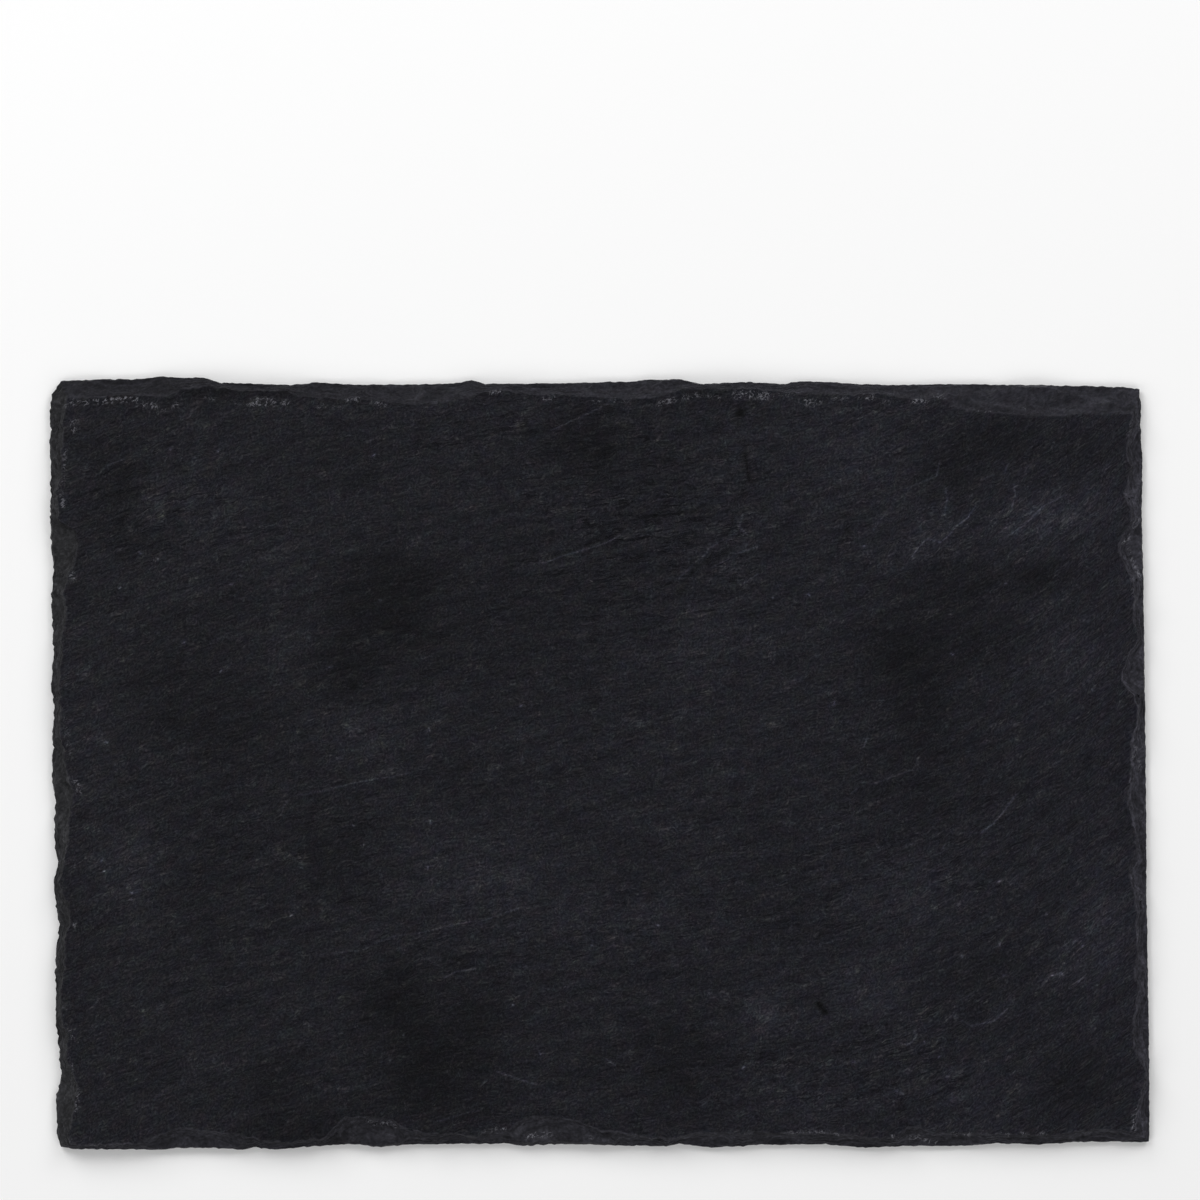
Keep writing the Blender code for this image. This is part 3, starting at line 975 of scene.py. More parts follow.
    def dress(self, slab: bpy.types.Object, finish: "SlateFinish") -> None:
        """Gives the slab its finish and its place in the frame.

        Args:
            slab: The slab.
            finish: The finish that it gets.
        """
        slab.data.materials.clear()
        slab.data.materials.append(finish.material())
        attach(slab, "root")
        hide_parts(self.node)
        LOG.info("%s: %d triangles", slab.name, len(slab.data.polygons))


@dataclass(frozen=True)
class Pattern:
    """A cloud of noise in the plane of the slab: its waves to the mm both ways, its detail and its lie."""

    along: float
    across: float
    detail: float
    roughness: float = 0.5
    turn: float = 0.0
    shift: float = 0.0


@dataclass(frozen=True)
class Line:
    """A line drawn where a pattern passes a level: full this close to it, and gone this far off."""

    level: float
    full: float
    gone: float


@dataclass(frozen=True)
class Gate:
    """What breaks a feature up: shut where a pattern is below low, and open where it is above high."""

    pattern: Pattern
    low: float
    high: float


@dataclass
class Wiring:
    """Adds and joins the nodes of one material."""

    tree: bpy.types.NodeTree

    def node(self, kind: str, **settings: object) -> bpy.types.Node:
        """Adds a node.

        Args:
            kind: The node's type.
            **settings: Its properties.

        Returns:
            The node.
        """
        made = self.tree.nodes.new(kind)
        for name, value in settings.items():
            setattr(made, name, value)
        return made

    def feed(self, socket: bpy.types.NodeSocket, value: object) -> None:
        """Gives an input its value.

        Args:
            socket: The input.
            value: An output to link to it, or the value to set on it.
        """
        if isinstance(value, bpy.types.NodeSocket):
            self.tree.links.new(value, socket)
        else:
            socket.default_value = value

    def attribute(self, name: str, vector: bool = False) -> bpy.types.NodeSocket:
        """Reads one of the piece's attributes."""
        made = self.node("ShaderNodeAttribute", attribute_name=name)
        return made.outputs["Vector" if vector else "Fac"]

    def math(self, operation: str, *values: object, clamp: bool = False) -> bpy.types.NodeSocket:
        """Works out a sum.

        Args:
            operation: The kind of sum.
            *values: The one, two or three values in it.
            clamp: Whether to keep the result within 0 and 1.

        Returns:
            The result.
        """
        made = self.node("ShaderNodeMath", operation=operation, use_clamp=clamp)
        for socket, value in zip(made.inputs, values):
            self.feed(socket, value)
        return made.outputs[0]

    def span(self, value: object, low: float, high: float,
             start: float = 0.0, end: float = 1.0) -> bpy.types.NodeSocket:
        """Maps a range to another smoothly, and goes no further.

        Args:
            value: The value.
            low: Where the range starts.
            high: Where it ends.
            start: What low becomes.
            end: What high becomes.

        Returns:
            The mapped value.
        """
        made = self.node("ShaderNodeMapRange", interpolation_type="SMOOTHSTEP")
        for name, setting in (("Value", value), ("From Min", low), ("From Max", high),
                              ("To Min", start), ("To Max", end)):
            self.feed(made.inputs[name], setting)
        return made.outputs["Result"]

    def stretched(self, vector: bpy.types.NodeSocket, scale: tuple[float, float, float],
                  turn: float = 0.0, shift: float = 0.0) -> bpy.types.NodeSocket:
        """Stretches, turns and shifts a pattern's coordinates.

        Args:
            vector: The coordinates.
            scale: How many waves go to each unit of them.
            turn: How far the pattern is turned in the plane, in degrees.
            shift: How far it is shifted along every axis.

        Returns:
            The pattern's own coordinates.
        """
        made = self.node("ShaderNodeMapping", vector_type="TEXTURE" if turn else "POINT")
        self.feed(made.inputs["Vector"], vector)
        if turn:
            made.inputs["Rotation"].default_value = (0.0, 0.0, math.radians(turn))
            made.inputs["Scale"].default_value = tuple(1.0 / size for size in scale)
        else:
            made.inputs["Scale"].default_value = scale
        made.inputs["Location"].default_value = (shift, shift, shift)
        return made.outputs["Vector"]

    def noise(self, vector: bpy.types.NodeSocket, scale: float, detail: float,
              roughness: float = 0.5, colour: bool = False, solid: bool = False) -> bpy.types.NodeSocket:
        """Reads a cloud of noise.

        Args:
            vector: Where to read it.
            scale: How many waves go to each unit of the coordinates.
            detail: How many octaves are added.
            roughness: How strong each octave is beside the one before.
            colour: Whether to read three values as a colour, and not one.
            solid: Whether the noise fills the solid, and not only the plane of the slab.

        Returns:
            The noise, whose middle is 0.5.
        """
        made = self.node("ShaderNodeTexNoise", noise_dimensions="3D" if solid else "2D", normalize=True)
        self.feed(made.inputs["Vector"], vector)
        made.inputs["Scale"].default_value = scale
        made.inputs["Detail"].default_value = detail
        made.inputs["Roughness"].default_value = roughness
        return made.outputs["Color" if colour else "Fac"]

    def laid(self, vector: bpy.types.NodeSocket, pattern: Pattern) -> bpy.types.NodeSocket:
        """Lays a pattern's coordinates along and across the grain."""
        return self.stretched(vector, (pattern.along, pattern.across, 1.0), pattern.turn, pattern.shift)

    def cloud(self, vector: bpy.types.NodeSocket, pattern: Pattern,
              colour: bool = False) -> bpy.types.NodeSocket:
        """Reads a pattern.

        Args:
            vector: Where to read it, along and across the grain.
            pattern: The pattern, which needs no coordinates of its own where it is as long as it is wide.
            colour: Whether to read three values as a colour, and not one.

        Returns:
            The pattern, whose middle is 0.5.
        """
        if pattern.along == pattern.across:
            return self.noise(vector, pattern.across, pattern.detail, pattern.roughness, colour)
        return self.noise(self.laid(vector, pattern), 1.0, pattern.detail, pattern.roughness, colour)

    def gate(self, vector: bpy.types.NodeSocket, gate: Gate) -> bpy.types.NodeSocket:
        """How far a gate is open at coordinates, from 0 to 1."""
        return self.span(self.cloud(vector, gate.pattern), gate.low, gate.high)

    def line(self, pattern: bpy.types.NodeSocket, line: Line) -> bpy.types.NodeSocket:
        """Draws a line on a pattern: 1 where the pattern passes the line's level, and 0 off it."""
        away = self.math("ABSOLUTE", self.math("SUBTRACT", pattern, line.level))
        return self.span(away, line.full, line.gone, 1.0, 0.0)

    def cell_rims(self, vector: bpy.types.NodeSocket) -> bpy.types.NodeSocket:
        """How far each point lies from the rim of its cell, in a pattern of cells a unit wide."""
        made = self.node("ShaderNodeTexVoronoi", voronoi_dimensions="2D", feature="DISTANCE_TO_EDGE")
        self.feed(made.inputs["Vector"], vector)
        made.inputs["Scale"].default_value = 1.0
        return made.outputs["Distance"]

    def moved(self, vector: bpy.types.NodeSocket, by: bpy.types.NodeSocket,
              reach: tuple[float, float, float]) -> bpy.types.NodeSocket:
        """Moves coordinates about.

        Args:
            vector: The coordinates.
            by: A colour of noise, whose middle leaves them where they are.
            reach: How far they move along each axis as the noise goes from 0 to 1.

        Returns:
            The moved coordinates.
        """
        centred = self.node("ShaderNodeVectorMath", operation="SUBTRACT")
        self.feed(centred.inputs[0], by)
        centred.inputs[1].default_value = (0.5, 0.5, 0.5)
        scaled = self.node("ShaderNodeVectorMath", operation="MULTIPLY")
        self.feed(scaled.inputs[0], centred.outputs[0])
        scaled.inputs[1].default_value = reach
        total = self.node("ShaderNodeVectorMath", operation="ADD")
        self.feed(total.inputs[0], vector)
        self.feed(total.inputs[1], scaled.outputs[0])
        return total.outputs[0]

    def blend(self, share: object, first: object, second: object, how: str = "MIX") -> bpy.types.NodeSocket:
        """Blends two colours.

        Args:
            share: The share of the second colour.
            first: The first colour.
            second: The second colour.
            how: The way to blend them.

        Returns:
            The blend.
        """
        made = self.node("ShaderNodeMix", data_type="RGBA", blend_type=how, clamp_factor=True)
        sockets = {socket.identifier: socket for socket in (*made.inputs, *made.outputs)}
        self.feed(sockets["Factor_Float"], share)
        self.feed(sockets["A_Color"], first)
        self.feed(sockets["B_Color"], second)
        return sockets["Result_Color"]


@dataclass(frozen=True)
class SlateFinish:
    """The stone's colour, grain and gloss. Lengths are in mm, and colours are linear."""

    face: tuple[float, float, float, float] = (0.0102, 0.01025, 0.0137, 1.0)
    broken: tuple[float, float, float, float] = (0.0262, 0.0257, 0.0325, 1.0)
    broken_olive: tuple[float, float, float, float] = (0.0228, 0.0230, 0.0250, 1.0)
    bruised: tuple[float, float, float, float] = (0.15, 0.15, 0.17, 1.0)
    specular: float = 0.08
    roughness: float = 0.62
    roughness_swing: float = 0.08
    roughness_streaks: tuple[float, float] = (0.3, 0.7)
    hues: Pattern = Pattern(0.22, 0.22, 3.0, 0.75)
    warm_tint: float = 0.34
    green_tint: float = 0.50
    blue_share: float = 0.85
    blue_of_tone: float = 0.16
    blue_to_right: float = 0.00018
    drift: Pattern = Pattern(0.16, 0.16, 3.0, 0.6)
    drift_reach: tuple[float, float, float] = (4.2, 2.4, 0.0)
    streaks: Pattern = Pattern(0.17, 1.26, 2.0, 0.68)
    streak_contrast: float = 1.08
    streak_height: float = 0.75
    grit: Pattern = Pattern(1.40, 1.40, 1.0)
    grit_contrast: float = 2.35
    grit_height: float = 0.35
    mottle: Pattern = Pattern(0.045, 0.26, 2.0, 0.6, shift=9.0)
    mottle_contrast: float = 0.82
    crease_waves: Pattern = Pattern(0.065, 0.46, 3.0, 0.62, shift=31.0)
    crease_line: Line = Line(0.5, 0.01, 0.080)
    crease_gate: Gate = Gate(Pattern(0.20, 0.20, 2.0, 0.65), 0.42, 0.58)
    # Painted shade: how much darker the colour is made in the creases.
    crease_painted_shade: float = 0.36
    crease_height: float = 0.30
    ledge_waves: Pattern = Pattern(0.026, 0.23, 3.0, 0.60, shift=77.0)
    # Painted highlight on the lip of each ledge, and painted shade beside it.
    ledge_painted_highlight: Line = Line(0.522, 0.004, 0.022)
    ledge_painted_shade: Line = Line(0.488, 0.006, 0.030)
    ledge_painted_shade_depth: float = 1.4
    ledge_gate: Gate = Gate(Pattern(0.11, 0.11, 2.0, 0.6), 0.44, 0.60)
    ledge_painted_light_strength: float = 0.36
    least_creased: float = 0.7
    creased_gain: float = 1.6
    curl_waves: Pattern = Pattern(0.42, 0.80, 1.0, 0.6, turn=8.0, shift=53.0)
    curl_line: Line = Line(0.52, 0.01, 0.08)
    curl_gate: Gate = Gate(Pattern(0.5, 0.5, 1.0), 0.45, 0.62)
    curl_brightness: float = 0.40
    flake_waves: Pattern = Pattern(0.055, 0.17, 4.0, 0.62, turn=16.0, shift=17.0)
    flake_line: Line = Line(0.53, 0.006, 0.045)
    flake_gate: Gate = Gate(Pattern(0.14, 0.14, 2.0, 0.7), 0.53, 0.64)
    flaky_gain: float = 0.10
    least_flaky: float = -0.02
    line_brightness: float = 0.60
    ring_drift: Pattern = Pattern(0.9, 0.9, 2.0, 0.6)
    ring_drift_reach: tuple[float, float, float] = (2.6, 2.6, 0.0)
    ring_cells: Pattern = Pattern(0.60, 0.78, 0.0, shift=3.0)
    ring_rim: tuple[float, float] = (0.02, 0.17)
    ring_gate: Gate = Gate(Pattern(0.65, 0.65, 2.0, 0.6), 0.40, 0.62)
    bruise_range: tuple[float, float] = (0.10, 0.95)
    crest_brightness: float = 0.05
    edge_tone: float = 0.7
    edge_height: float = 0.9
    edge_drift_scale: float = 0.25
    edge_drift_reach: tuple[float, float, float] = (2.4, 2.4, 0.7)
    layer_stretch: tuple[float, float, float] = (0.13, 0.13, 1.0)
    layer_detail: float = 3.0
    layer_roughness: float = 0.72
    layer_contrast: float = 3.7
    layer_height: float = 0.8
    chip_scale: float = 0.95
    chip_detail: float = 1.0
    chip_roughness: float = 0.6
    chip_contrast: float = 1.9
    chip_height: float = 0.6
    bump: float = 1.0
    bump_depth: float = 0.20

    def material(self) -> bpy.types.Material:
        """Builds the material.

        Returns:
            The slate material, with its pattern laid along the grain.
        """
        material = bpy.data.materials.new("riven_slate")
        material.use_nodes = True
        tree = material.node_tree
        surface = tree.nodes["Principled BSDF"]
        wiring = Wiring(tree)
        surface.inputs["Specular IOR Level"].default_value = self.specular
        surface.inputs["Metallic"].default_value = 0.0

        rock = wiring.attribute("rock", vector=True)
        rock = wiring.moved(rock, wiring.cloud(rock, self.drift, colour=True), self.drift_reach)
        streaks = wiring.cloud(rock, self.streaks)
        grit = wiring.cloud(rock, self.grit)
        creases = self.creases(wiring, rock)

        light = self.centred(wiring, streaks, self.streak_contrast, wiring.attribute("tone"))
        light = self.centred(wiring, grit, self.grit_contrast, light)
        light = self.centred(wiring, wiring.cloud(rock, self.mottle), self.mottle_contrast, light)
        # Painted shade darkens the creases.
        light = wiring.math("MULTIPLY_ADD", creases, -self.crease_painted_shade, light)
        # Painted highlight on the ledge lips, and painted shade beside them.
        light = wiring.math("MULTIPLY_ADD", self.painted_ledge_light(wiring, rock), self.ledge_painted_light_strength, light)
        light = wiring.math("MULTIPLY_ADD", self.curls(wiring, rock), self.curl_brightness, light)
        light = wiring.math("MULTIPLY_ADD", self.flake_lines(wiring, rock), self.line_brightness, light)
        face = wiring.blend(1.0, self.tints(wiring, rock, light), self.face, "MULTIPLY")
        edges, edge_height = self.dressed(wiring)
        share = wiring.attribute("dressed")
        colour = wiring.blend(share, face, edges)
        colour = wiring.blend(self.bruises(wiring, rock), colour, self.bruised)
        wiring.feed(surface.inputs["Base Color"], colour)
        roughest, smoothest = self.roughness + self.roughness_swing, self.roughness - self.roughness_swing
        roughness = wiring.span(streaks, *self.roughness_streaks, roughest, smoothest)
        wiring.feed(surface.inputs["Roughness"], roughness)

        height = wiring.math("MULTIPLY", streaks, self.streak_height)
        height = wiring.math("MULTIPLY_ADD", grit, self.grit_height, height)
        height = wiring.math("MULTIPLY_ADD", creases, -self.crease_height, height)
        broken = wiring.math("MULTIPLY", edge_height, share)
        height = wiring.math("MULTIPLY_ADD", broken, self.edge_height, height)
        bump = wiring.node("ShaderNodeBump")
        bump.inputs["Strength"].default_value = self.bump
        bump.inputs["Distance"].default_value = self.bump_depth * MM
        wiring.feed(bump.inputs["Height"], height)
        wiring.feed(surface.inputs["Normal"], bump.outputs["Normal"])
        return material

    @staticmethod
    def centred(wiring: Wiring, pattern: bpy.types.NodeSocket, contrast: float,
                onto: bpy.types.NodeSocket) -> bpy.types.NodeSocket:
        """Adds a pattern to a brightness, as much up as down."""
        return wiring.math("MULTIPLY_ADD", wiring.math("SUBTRACT", pattern, 0.5), contrast, onto)

    def tints(self, wiring: Wiring, rock: bpy.types.NodeSocket,
              light: bpy.types.NodeSocket) -> bpy.types.NodeSocket:
        """Makes the face cool here and warm there, and greyer where it is dark or far left.

        Args:
            wiring: The material's nodes.
            rock: The coordinates along and across the grain.
            light: The natural logarithm of the face's brightness.

        Returns:
            The brightness of each colour.
        """
        hues = wiring.node("ShaderNodeSeparateColor")
        wiring.feed(hues.inputs["Color"], wiring.cloud(rock, self.hues, colour=True))
        made = wiring.node("ShaderNodeCombineColor")
        place = wiring.node("ShaderNodeSeparateXYZ")
        wiring.feed(place.inputs[0], rock)
        bluish = wiring.math("MULTIPLY", light, self.blue_share)
        bluish = wiring.math("MULTIPLY_ADD", wiring.attribute("tone"), self.blue_of_tone, bluish)
        bluish = wiring.math("MULTIPLY_ADD", place.outputs["X"], self.blue_to_right, bluish)
        for name, hue, tint, onto in (
            ("Red", "Red", self.warm_tint, light),
            ("Green", "Green", self.green_tint, light),
            ("Blue", "Red", -self.warm_tint, bluish),
        ):
            shifted = self.centred(wiring, hues.outputs[hue], tint, onto)
            wiring.feed(made.inputs[name], wiring.math("EXPONENT", shifted))
        return made.outputs["Color"]

    @staticmethod
    def grey(wiring: Wiring, value: bpy.types.NodeSocket) -> bpy.types.NodeSocket:
        """A grey of this value."""
        made = wiring.node("ShaderNodeCombineColor")
        for name in ("Red", "Green", "Blue"):
            wiring.feed(made.inputs[name], value)
        return made.outputs["Color"]

    def creased(self, wiring: Wiring, feature: bpy.types.NodeSocket) -> bpy.types.NodeSocket:
        """Strengthens a feature where the face is creased, such as the creases' painted shade and the ledge
        light.
        """
        creased = wiring.attribute("creased")
        gain = wiring.math("MULTIPLY_ADD", creased, self.creased_gain, self.least_creased)
        return wiring.math("MULTIPLY", feature, gain)

    def creases(self, wiring: Wiring, rock: bpy.types.NodeSocket) -> bpy.types.NodeSocket:
        """Short creases that run along the grain, 1 on a crease and 0 beside it: the bump sinks them, and
        painted shade darkens them.
        """
        line = wiring.line(wiring.cloud(rock, self.crease_waves), self.crease_line)
        return self.creased(wiring, wiring.math("MULTIPLY", line, wiring.gate(rock, self.crease_gate)))

    def painted_ledge_light(self, wiring: Wiring, rock: bpy.types.NodeSocket) -> bpy.types.NodeSocket:
        """Paints the light and shade of long faint ledge lines that run along the grain.

        Args:
            wiring: The material's nodes.
            rock: The coordinates along and across the grain.

        Returns:
            What they add to the brightness: above 0 for the painted highlight on their lip, and below it for
                the painted shade beside it.
        """
        waves = wiring.cloud(rock, self.ledge_waves)
        lip = wiring.line(waves, self.ledge_painted_highlight)
        shade = wiring.line(waves, self.ledge_painted_shade)
        ledge = wiring.math("MULTIPLY_ADD", shade, -self.ledge_painted_shade_depth, lip)
        return self.creased(wiring, wiring.math("MULTIPLY", ledge, wiring.gate(rock, self.ledge_gate)))

    def curls(self, wiring: Wiring, rock: bpy.types.NodeSocket) -> bpy.types.NodeSocket:
        """Fine pale hairs that curl between the creases."""
        place = wiring.laid(rock, self.curl_waves)
        waves = wiring.noise(place, 1.0, self.curl_waves.detail, self.curl_waves.roughness)
        hairs = wiring.line(waves, self.curl_line)
        return wiring.math("MULTIPLY", hairs, wiring.gate(place, self.curl_gate))

    def flake_lines(self, wiring: Wiring, rock: bpy.types.NodeSocket) -> bpy.types.NodeSocket:
        """Draws thin pale lines where a layer ends on the face, most of them where the face is flaky.

        Args:
            wiring: The material's nodes.
            rock: The coordinates along and across the grain.

        Returns:
            1 on a line, and 0 beside it.
        """
        line = wiring.line(wiring.cloud(rock, self.flake_waves), self.flake_line)
        flaky = wiring.math("MULTIPLY_ADD", wiring.attribute("flaky"), self.flaky_gain, self.least_flaky)
        patchy = wiring.math("ADD", wiring.cloud(rock, self.flake_gate.pattern), flaky)
        return wiring.math("MULTIPLY", line, wiring.span(patchy, self.flake_gate.low, self.flake_gate.high))

    def bruises(self, wiring: Wiring, rock: bpy.types.NodeSocket) -> bpy.types.NodeSocket:
        """Draws the white bruises along the crest, in small broken rings.

        Args:
            wiring: The material's nodes.
            rock: The coordinates along and across the grain.

        Returns:
            The share of white stone.
        """
        drift = wiring.cloud(rock, self.ring_drift, colour=True)
        moved = wiring.moved(rock, drift, self.ring_drift_reach)
        rim = wiring.cell_rims(wiring.laid(moved, self.ring_cells))
        ring = wiring.span(rim, *self.ring_rim, 1.0, 0.0)
        patchy = wiring.gate(rock, self.ring_gate)
        mask = wiring.span(wiring.attribute("bruise"), *self.bruise_range)
        rings = wiring.math("MULTIPLY", wiring.math("MULTIPLY", ring, patchy), mask)
        line = wiring.math("MULTIPLY", wiring.attribute("crest"), self.crest_brightness)
        return wiring.math("MAXIMUM", rings, wiring.math("MULTIPLY", line, patchy))

    def dressed(self, wiring: Wiring) -> tuple[bpy.types.NodeSocket, bpy.types.NodeSocket]:
        """The broken stone of the scars and walls, paler than the face and streaked by its layers.

        Args:
            wiring: The material's nodes.

        Returns:
            Its colour, and its height for the bump.
        """
        per_mm = 1.0 / MM
        place = wiring.node("ShaderNodeTexCoord").outputs["Object"]
        place = wiring.stretched(place, (per_mm, per_mm, per_mm))
        drift = wiring.noise(place, self.edge_drift_scale, 0.0, colour=True, solid=True)
        moved = wiring.moved(place, drift, self.edge_drift_reach)
        layers = wiring.stretched(moved, self.layer_stretch)
        layers = wiring.noise(layers, 1.0, self.layer_detail, self.layer_roughness, solid=True)
        chips = wiring.noise(moved, self.chip_scale, self.chip_detail, self.chip_roughness, solid=True)
        light = wiring.math("MULTIPLY", wiring.attribute("tone"), self.edge_tone)
        light = self.centred(wiring, layers, self.layer_contrast, light)
        light = self.centred(wiring, chips, self.chip_contrast, light)
        stone = wiring.blend(wiring.attribute("olive"), self.broken, self.broken_olive)
        grey = self.grey(wiring, wiring.math("EXPONENT", light))
        colour = wiring.blend(1.0, stone, grey, "MULTIPLY")
        height = wiring.math("MULTIPLY", chips, self.chip_height)
        return colour, wiring.math("MULTIPLY_ADD", layers, self.layer_height, height)


@dataclass(frozen=True)
class Softbox:
    """A square soft light that faces the slab, in degrees, metres and watts."""

    name: str
    azimuth: float
    elevation: float
    distance: float
    size: float
    power: float

    def place(self) -> None:
        """Adds the light where it stands, turned to the slab."""
        azimuth, elevation = math.radians(self.azimuth), math.radians(self.elevation)
        direction = Vector((
            math.cos(elevation) * math.cos(azimuth),
            math.cos(elevation) * math.sin(azimuth),
            math.sin(elevation),
        ))
        aim = direction.to_track_quat("Z", "Y").to_euler()
        bpy.ops.object.light_add(type="AREA", location=direction * self.distance, rotation=aim)
        light = bpy.context.object
        light.name = self.name
        light.data.shape = "SQUARE"
        light.data.size = self.size
        light.data.energy = self.power


@dataclass(frozen=True)
class Studio:
    """The plain pale floor, the soft lights and the camera that looks straight down."""

    softboxes: tuple[Softbox, ...] = (
        Softbox("softbox_far_left", 125.0, 36.0, 1.9, 1.2, 22.0),
        Softbox("softbox_far_right", 50.0, 36.0, 1.9, 1.0, 13.0),
        Softbox("softbox_near_left", -140.0, 38.0, 1.9, 1.0, 7.5),
        Softbox("softbox_near_right", -50.0, 42.0, 1.9, 1.2, 8.0),
    )
    floor_size: float = 8.0
    floor_white: float = 0.92
    floor_roughness: float = 0.9
    floor_specular: float = 0.1
    sky: float = 0.22
    mm_per_pixel: float = 355.0 / 1099.0
    frame_pixels: float = 1200.0
    slab_pixel: tuple[float, float] = (599.5, 763.0)
    lens: float = 135.0
    sensor: float = 36.0
    sight: float = 50.0

    def build_floor(self) -> None:
        """Adds the floor under the slab."""
        bpy.ops.mesh.primitive_plane_add(size=self.floor_size, location=(0.0, 0.0, 0.0))
        floor = bpy.context.object
        floor.name = "floor"
        material = bpy.data.materials.new("pale_floor")
        material.use_nodes = True
        surface = material.node_tree.nodes["Principled BSDF"]
        white = self.floor_white
        surface.inputs["Base Color"].default_value = (white, white, white, 1.0)
        surface.inputs["Roughness"].default_value = self.floor_roughness
        surface.inputs["Specular IOR Level"].default_value = self.floor_specular
        floor.data.materials.append(material)

    def build_sky(self) -> None:
        """Fills the room with an even pale light."""
        world = bpy.data.worlds.new("pale_room")
        world.use_nodes = True
        background = world.node_tree.nodes["Background"]
        background.inputs["Color"].default_value = (1.0, 1.0, 1.0, 1.0)
        background.inputs["Strength"].default_value = self.sky
        bpy.context.scene.world = world

    def build_camera(self) -> None:
        """Adds the camera above the slab, where the photo's middle lies."""
        across = self.frame_pixels * self.mm_per_pixel * MM
        middle = self.frame_pixels / 2.0
        x = (middle - self.slab_pixel[0]) * self.mm_per_pixel * MM
        y = (self.slab_pixel[1] - middle) * self.mm_per_pixel * MM
        height = across * self.lens / self.sensor
        bpy.ops.object.camera_add(location=(x, y, height), rotation=(0.0, 0.0, 0.0))
        camera = bpy.context.object
        camera.name = "camera"
        camera.data.lens = self.lens
        camera.data.sensor_width = self.sensor
        camera.data.clip_end = self.sight
        bpy.context.scene.camera = camera

    def build(self) -> None:
        """Builds the floor, the lights, the room and the camera."""
        bpy.ops.object.select_all(action="DESELECT")
        self.build_floor()
        for softbox in self.softboxes:
            softbox.place()
        self.build_sky()
        self.build_camera()
        bpy.context.scene.view_settings.view_transform = "Standard"
        LOG.info("studio: %d softboxes", len(self.softboxes))


def scars(*rows: tuple[float, float, float, float]) -> tuple[Scar, ...]:
    """Makes scars of rows of middle, half length, reach and depth."""
    return tuple(Scar(*row) for row in rows)


def bruises(*rows: tuple[float, ...]) -> tuple[Bruise, ...]:
    """Makes bruises of rows of start, end, strength, place past the crest and, if not usual, half width."""
    return tuple(Bruise(*row) for row in rows)


def spalls(*rows: tuple[float, float, float, float, float, float]) -> tuple[Spall, ...]:
    """Makes spalls of rows of x, y, half length, half width, turn and depth."""
    return tuple(Spall(*row) for row in rows)


def patches(*rows: tuple[float, float, float, float, float, float]) -> tuple[Patch, ...]:
    """Makes patches of rows of x, y, half length, half width, turn and strength."""
    return tuple(Patch(*row) for row in rows)


